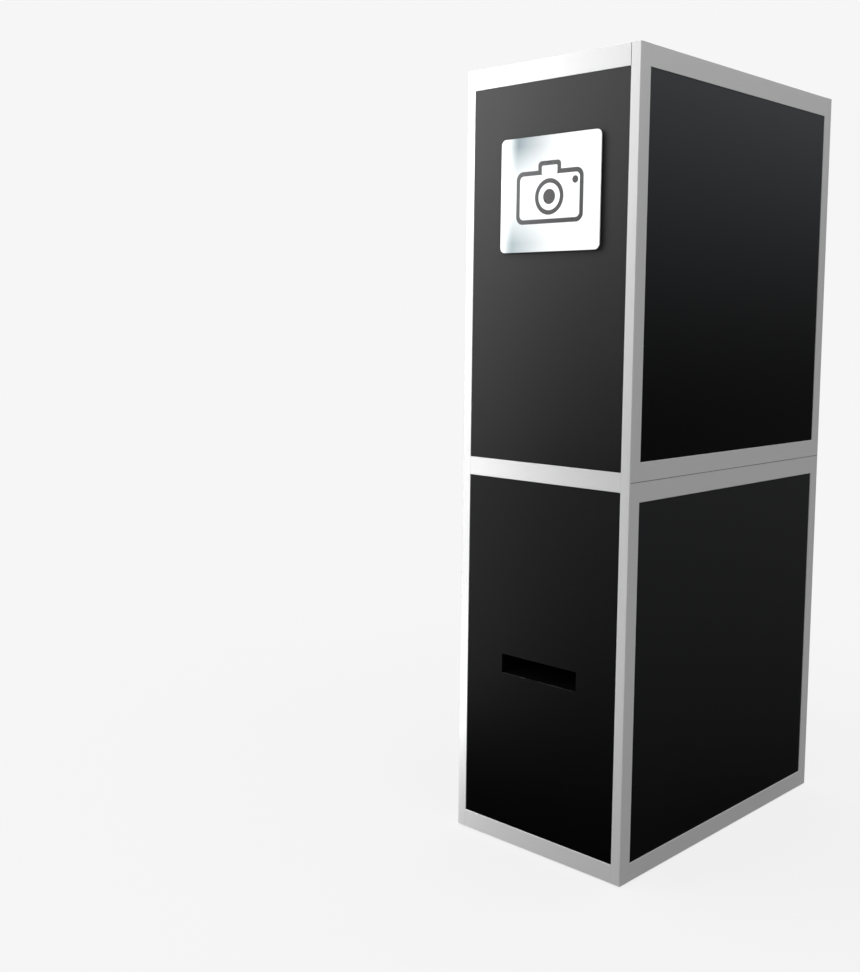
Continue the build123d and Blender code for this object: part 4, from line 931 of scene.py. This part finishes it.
def small_part(name, shape, body, finish):
    """Turns mesh code into a piece with its finish, riding on a body."""
    bmesh.ops.recalc_face_normals(shape, faces=shape.faces)
    mesh = bpy.data.meshes.new(name)
    shape.to_mesh(mesh)
    shape.free()
    mesh.shade_smooth()
    mesh.set_sharp_from_angle(angle=math.radians(35))
    mesh.materials.append(finish)
    made = bpy.data.objects.new(name, mesh)
    bpy.context.scene.collection.objects.link(made)
    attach(made, body)


def facing(ahead):
    """A turn that points the local Z along a world direction."""
    return Vector(ahead).to_track_quat("Z", "Y").to_matrix().to_4x4()


FACING_X, FACING_Y = facing((1, 0, 0)), facing((0, 1, 0))
print("piece helpers")

# %% Cross-head screws
SCREW_PROFILE = ((1.0, 0.0), (1.0, 0.10), (0.92, 0.26), (0.76, 0.38))  # of its radius


def add_screw(shape, place, turn, radius, spin):
    """A low pan head with a cross recess. Local Z points out of the surface."""
    start = len(shape.verts)
    rings = [ring_of(shape, circle(r * radius, h * radius)) for r, h in SCREW_PROFILE]
    for lower, upper in zip(rings, rings[1:]):
        bridge(shape, lower, upper)
    arm, half = 0.52 * radius, 0.13 * radius
    quarter = ((arm, -half), (arm, half), (half, half))
    outline = []
    for k in range(4):
        c, s = round(math.cos(k * math.pi / 2)), round(math.sin(k * math.pi / 2))
        outline += [(x * c - y * s, x * s + y * c) for x, y in quarter]
    top, pit = SCREW_PROFILE[-1][1] * radius, 0.08 * radius
    mouth = ring_of(shape, [(x, y, top) for x, y in outline])
    floor = ring_of(shape, [(0.8 * x, 0.8 * y, pit) for x, y in outline])
    bridge(shape, mouth, floor)
    shape.faces.new(floor)
    rims = []
    for loop in (rings[-1], mouth):
        for ends in zip(loop, loop[1:] + loop[:1]):
            rims.append(shape.edges.get(ends) or shape.edges.new(ends))
    bmesh.ops.triangle_fill(shape, edges=rims, use_beauty=True)
    shape.verts.ensure_lookup_table()
    move = Matrix.Translation(place) @ turn @ Matrix.Rotation(spin, 4, "Z")
    for vert in shape.verts[start:]:
        vert.co = move @ vert.co


SPIN_STEP = 0.7  # no two cross recesses stop at the same angle


def screws(name, body, finish, places, radius):
    """Screw heads that stand out along +Y, as one piece."""
    shape = bmesh.new()
    for i, place in enumerate(places):
        add_screw(shape, Vector(place), FACING_Y, radius, SPIN_STEP * i)
    small_part(name, shape, body, finish)


# %% Screws on the hinge leaves and the fan
LEAF_THICK = 0.0015
LEAF_HALF = 0.030  # half the height of a hinge leaf
SCREW_STEP = 0.019  # from the middle of a leaf to a screw
LEAF_EDGE = 0.0080  # from the free edge of a leaf to its screws
HINGE_SCREW, FAN_SCREW = 0.0034, 0.0032  # radius of a head
FAN_HOLES = 0.057  # from the fan's middle to a screw, across and up

for part in ("lower", "upper"):
    low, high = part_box(f"{part}_hinge_frame_leaves")
    face = low.y + LEAF_THICK
    leaf_middles = (low.z + LEAF_HALF, high.z - LEAF_HALF)
    heights = [z + step for z in leaf_middles for step in (-SCREW_STEP, SCREW_STEP)]
    places = [(low.x + LEAF_EDGE, face, z) for z in heights]
    screws(f"{part}_hinge_frame_screws", f"{part}_module", metal["hinge"], places, HINGE_SCREW)
    low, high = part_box(f"{part}_hinge_door_leaves")
    places = [(high.x - LEAF_EDGE, face, z) for z in heights]
    screws(f"{part}_hinge_door_screws", f"{part}_door", metal["hinge"], places, HINGE_SCREW)

low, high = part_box("fan_frame")
middle = (low + high) / 2
door_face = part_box("upper_door_panel")[1].y
corners = [(i * FAN_HOLES, k * FAN_HOLES) for i in (-1, 1) for k in (-1, 1)]
places = [(middle.x + x, door_face, middle.z + z) for x, z in corners]
screws("fan_screws", "upper_door", metal["button"], places, FAN_SCREW)
print("screws on leaves and fan")

# %% Lips round the openings of the guest face
LIP_DEPTH = 0.0055
LIP_WIDTH = 0.0030
LIP_ROUND = 0.0011
LIP_GAP = 0.0002  # from the sheet's sawn edge to the lip
OPENING_CORNER = 0.006
SHARPEST_CORNER = 0.002
CORNER_STEPS = 8


def rounded_loop(half_y, half_z, radius):
    """Points round a rectangle with rounded corners, as (y, z)."""
    points = []
    for cy, cz, start in ((1, 1, 0), (-1, 1, 1), (-1, -1, 2), (1, -1, 3)):
        for i in range(CORNER_STEPS + 1):
            a = (start + i / CORNER_STEPS) * math.pi / 2
            y, z = cy * (half_y - radius), cz * (half_z - radius)
            points.append((y + radius * math.cos(a), z + radius * math.sin(a)))
    return points


def add_lip(shape, centre_y, centre_z, size_y, size_z, front_x):
    """A rubber lip in an opening; its section goes back, in, and round to the front."""
    section = [
        (LIP_GAP, LIP_DEPTH),
        (LIP_WIDTH, LIP_DEPTH),
        (LIP_WIDTH, LIP_ROUND),
        (LIP_WIDTH - 0.3 * LIP_ROUND, 0.3 * LIP_ROUND),
        (LIP_WIDTH - LIP_ROUND, 0.0),
        (LIP_GAP + LIP_ROUND, 0.0),
        (LIP_GAP, LIP_ROUND),
    ]
    rings = []
    for inset, back in section:
        corner = max(OPENING_CORNER - inset, SHARPEST_CORNER)
        loop = rounded_loop(size_y / 2 - inset, size_z / 2 - inset, corner)
        rings.append(ring_of(shape, [(front_x + back, centre_y + y, centre_z + z) for y, z in loop]))
    for i, ring in enumerate(rings):
        bridge(shape, ring, rings[(i + 1) % len(rings)])


SHEET_LAP = 0.008


def opening_behind(low, high):
    """Centre and size of the opening that a sheet behind the fascia laps all round."""
    middle, size = (low + high) / 2, high - low
    return middle.y, middle.z, size.y - 2 * SHEET_LAP, size.z - 2 * SHEET_LAP


fascia_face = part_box("camera_fascia")[0].x
shape = bmesh.new()
for sheet in ("camera_window", "screen_glass"):
    add_lip(shape, *opening_behind(*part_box(sheet)), fascia_face)
light_low, light_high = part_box("light_diffusers")
LIGHT_WIDTH = 0.116  # each diffuser with its laps
for low_y in (light_low.y, light_high.y - LIGHT_WIDTH):
    near, far = Vector((0, low_y, light_low.z)), Vector((0, low_y + LIGHT_WIDTH, light_high.z))
    add_lip(shape, *opening_behind(near, far), fascia_face)
small_part("fascia_lips", shape, "upper_module", plastic["rubber"])
print("lips round four openings")

# %% Blades in the mains inlet
BLADE = (0.0018, 0.0125, 0.0042)  # thickness, length, height
BLADE_TIP = 0.002
BLADE_PLACES = ((0.0, 0.0035), (-0.0065, -0.0025), (0.0065, -0.0025))  # from the socket's middle
SOCKET_ASIDE = 0.011  # from the inlet's middle to the socket's
SOCKET_DEEP = 0.0162


def add_blade(shape, centre, size, tip):
    """A flat contact with a tapered, rounded tip that points along +Y."""
    half_x, half_z = size[0] / 2, size[2] / 2
    length = size[1]
    rings = []
    for along, scale in ((0.0, 1.0), (length - tip, 1.0), (length - 0.3 * tip, 0.82), (length, 0.45)):
        loop = rounded_loop(half_x * scale, half_z * scale, min(half_x, half_z) * scale * 0.8)
        rings.append(ring_of(shape, [(centre[0] + x, centre[1] + along, centre[2] + z) for x, z in loop]))
    for lower, upper in zip(rings, rings[1:]):
        bridge(shape, lower, upper)
    shape.faces.new(rings[-1])
    shape.faces.new(list(reversed(rings[0])))


low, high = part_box("power_inlet")
socket_x, socket_z = (low.x + high.x) / 2 - SOCKET_ASIDE, (low.z + high.z) / 2
shape = bmesh.new()
for x, z in BLADE_PLACES:
    add_blade(shape, (socket_x + x, high.y - SOCKET_DEEP, socket_z + z), BLADE, BLADE_TIP)
small_part("inlet_blades", shape, "lower_module", metal["brass"])
print("three blades")

# %% [markdown]
# ## Dark strips in the frame's joints, as painted shade
# A thin dark rubber strip lies in the seam where the upper module stands on the lower
# one, and the same strip fills the two upright joints of each narrow roof rail. The strip
# is painted shade: it stands in for the fine shadow line in these joints. It sits back in
# its groove, so all that shows of it is a fine dark line. A line painted in the metal's
# material would do from afar, but not close up or when the upper module is lifted off.

# %% Dark strips: painted shade lines in the joints
STRIP_HALF = 0.0005  # half the width of a strip that shows
STRIP_DEPTH = 0.0010  # its back sits in the metal
STRIP_BACK = 0.0005  # frame face to strip
STRIP_SECTION = (  # (across, back), as shares of the half width and the depth
    (-1.0, 1.0), (-1.0, 0.25), (-0.6, 0.05), (0.0, 0.0), (0.6, 0.05), (1.0, 0.25), (1.0, 1.0),
)
SEAM_MIDDLE = 0.0012  # above the upper module's foot
ROOF_JOINT_MIDDLE = 0.0006  # from the end of the roof rail
ROOF_RAIL_HEIGHT = 0.052
STRIP_SHORT = 0.004  # the seam's strip stops this far from each corner
JOINT_SHORT = 0.001


def add_shade_strip(shape, ends, outward, across):
    """A strip from one end to the other with a rounded outer face."""
    rings = []
    for end in ends:
        points = []
        for wide, deep in STRIP_SECTION:
            inward = Vector(outward) * (STRIP_BACK + STRIP_DEPTH * deep)
            points.append(Vector(end) + Vector(across) * STRIP_HALF * wide - inward)
        rings.append(ring_of(shape, points))
    bridge(shape, *rings)
    for ring in rings:
        shape.faces.new(ring)


frame_low, frame_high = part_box("upper_posts")
rail_low, rail_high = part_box("upper_end_rails")
shape = bmesh.new()
strip_z = frame_low.z + SEAM_MIDDLE
for x, out in ((frame_high.x, 1), (frame_low.x, -1)):
    span = ((x, frame_low.y + STRIP_SHORT, strip_z), (x, frame_high.y - STRIP_SHORT, strip_z))
    add_shade_strip(shape, span, (out, 0, 0), (0, 0, 1))
joint_foot = rail_high.z - ROOF_RAIL_HEIGHT + JOINT_SHORT
for y, out in ((frame_low.y, -1), (frame_high.y, 1)):
    for x in (rail_low.x + ROOF_JOINT_MIDDLE, rail_high.x - ROOF_JOINT_MIDDLE):
        span = ((x, y, joint_foot), (x, y, rail_high.z - JOINT_SHORT))
        add_shade_strip(shape, span, (0, out, 0), (1, 0, 0))
# painted shade: dark rubber strips that stand in for the shadow lines in the frame's joints
small_part("frame_shade_strips", shape, "upper_module", plastic["rubber"])
print("seals at", round(strip_z, 4))

# %% [markdown]
# ## Camera details
# Through the window a guest sees the front of the lens, so its filter thread and the
# stepped black rings behind the glass matter more than anything else on the camera. The
# back of the camera shows when the upper door is open: a framed display, a four-way pad
# and two buttons.

# %% Lens front
THREAD_TURNS = 5
THREAD_PITCH = 0.0009
THREAD_RADII = (0.0259, 0.0252)  # crest and root
RIM_RADIUS = 0.02595
THREAD_DEPTH = 0.0048


def add_turned(shape, centre, turn, profile, count=64):
    """A closed ring turned round local Z from (radius, height) points."""
    start = len(shape.verts)
    rings = [ring_of(shape, circle(r, h, count)) for r, h in profile]
    for i, ring in enumerate(rings):
        bridge(shape, ring, rings[(i + 1) % len(rings)])
    shape.verts.ensure_lookup_table()
    move = Matrix.Translation(centre) @ turn
    for vert in shape.verts[start:]:
        vert.co = move @ vert.co


low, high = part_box("lens_glass")
middle = (low + high) / 2
tip_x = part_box("lens_barrel")[0].x
crest, root = THREAD_RADII
thread = [(RIM_RADIUS, 0.0001)]
for i in range(THREAD_TURNS):
    thread += [(crest, 0.0002 + THREAD_PITCH * i), (root, 0.0006 + THREAD_PITCH * i)]
thread += [(root, THREAD_DEPTH), (RIM_RADIUS, THREAD_DEPTH)]
shape = bmesh.new()
add_turned(shape, Vector((tip_x, middle.y, middle.z)), FACING_X, thread, 96)
small_part("lens_filter_thread", shape, "camera", plastic["camera"])
print("filter thread at", round(tip_x, 4))

# %% Plates on the camera's back


def add_plate(shape, centre, size_y, size_z, depth, radius, round_over, dish=0.0):
    """A rounded plate standing out along +X, with a rolled edge and a dished face."""
    rings = []
    rolled = 0.3 * round_over
    steps = ((0.0, 0.0), (0.0, depth - round_over), (rolled, depth - rolled), (round_over, depth))
    if dish:
        steps += ((round_over + 0.0012, depth), (round_over + 0.0016, depth - dish))
    for inset, out in steps:
        loop = rounded_loop(size_y / 2 - inset, size_z / 2 - inset, max(radius - inset, 0.0004))
        rings.append(ring_of(shape, [(centre[0] + out, centre[1] + y, centre[2] + z) for y, z in loop]))
    for lower, upper in zip(rings, rings[1:]):
        bridge(shape, lower, upper)
    shape.faces.new(rings[-1])


# %% Display
BACK_MIDDLE = 0.040  # above the camera body's foot
DISPLAY_Y = -0.012
DISPLAY_SUNK = 0.0019  # from the camera's back to the display glass

low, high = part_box("camera_body")
back_x, centre_z = high.x, low.z + BACK_MIDDLE
shape = bmesh.new()
add_plate(shape, (back_x, DISPLAY_Y, centre_z), 0.078, 0.054, 0.0030, 0.004, 0.0010, 0.0008)
small_part("camera_display_frame", shape, "camera", plastic["camera"])
shape = bmesh.new()
add_plate(shape, (back_x + DISPLAY_SUNK, DISPLAY_Y, centre_z), 0.0715, 0.0475, 0.0007, 0.002, 0.0003)
small_part("camera_display_glass", shape, "camera", glass["lens"])
print("display")

# %% Pad and buttons
CONTROLS_Y = 0.046
PAD_BELOW = 0.004
PAD_PROFILE = (  # (radius, height) of the ring-shaped pad
    (0.0105, 0.0), (0.0105, 0.0014), (0.0095, 0.0022), (0.0055, 0.0018), (0.0050, 0.0010), (0.0050, 0.0),
)
BUTTON_HEIGHTS = (0.018, -0.026)

shape = bmesh.new()
add_turned(shape, Vector((back_x, CONTROLS_Y, centre_z - PAD_BELOW)), FACING_X, PAD_PROFILE)
for z in BUTTON_HEIGHTS:
    add_plate(shape, (back_x, CONTROLS_Y, centre_z + z), 0.009, 0.005, 0.0014, 0.0024, 0.0005)
small_part("camera_controls", shape, "camera", plastic["rubber"])
print("pad and buttons")

# %% [markdown]
# ## Sockets on the machines
# The printer and the computer turn their backs to the service doors, and both show a
# row of sockets there. Each socket is a framed mouth with a sunk floor, so that it
# reads as a hole from any side.

# %% Socket rows
SOCKET_PROUD = 0.0010
SOCKET_FLOOR = 0.0006  # below the rim
SOCKET_WALL = 0.0008
SOCKET_CORNER = 0.0008


def add_socket(shape, centre, size_x, size_z):
    """A framed mouth that stands out along +Y, with a sunk floor."""
    rings = []
    rim = SOCKET_PROUD
    steps = ((0.0, 0.0), (0.0, rim), (SOCKET_WALL, rim), (SOCKET_WALL, rim - SOCKET_FLOOR))
    for inset, out in steps:
        loop = rounded_loop(size_x / 2 - inset, size_z / 2 - inset, SOCKET_CORNER)
        rings.append(ring_of(shape, [(centre[0] - x, centre[1] + out, centre[2] + z) for x, z in loop]))
    for lower, upper in zip(rings, rings[1:]):
        bridge(shape, lower, upper)
    shape.faces.new(rings[-1])


def socket_row(name, node, body, height, sizes, gap):
    """A row of sockets centred on the +Y face of a machine."""
    low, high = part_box(node)
    total = sum(width for width, _ in sizes) + gap * (len(sizes) - 1)
    x = (low.x + high.x) / 2 - total / 2
    shape = bmesh.new()
    for width, tall in sizes:
        add_socket(shape, (x + width / 2, high.y, low.z + height), width, tall)
        x += width + gap
    small_part(name, shape, body, metal["tray"])


COMPUTER_SOCKETS = (  # width and height of each
    (0.0135, 0.0060), (0.0135, 0.0060), (0.0155, 0.0065),
    (0.0155, 0.0130), (0.0090, 0.0036), (0.0100, 0.0100),
)
PRINTER_SOCKETS = ((0.0270, 0.0200), (0.0125, 0.0110), (0.0155, 0.0130))
socket_row("computer_sockets", "booth_computer", "upper_module", 0.024, COMPUTER_SOCKETS, 0.006)
socket_row("printer_sockets", "printer_case", "lower_module", 0.040, PRINTER_SOCKETS, 0.014)
print("sockets")

# %% Finish
low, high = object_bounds()
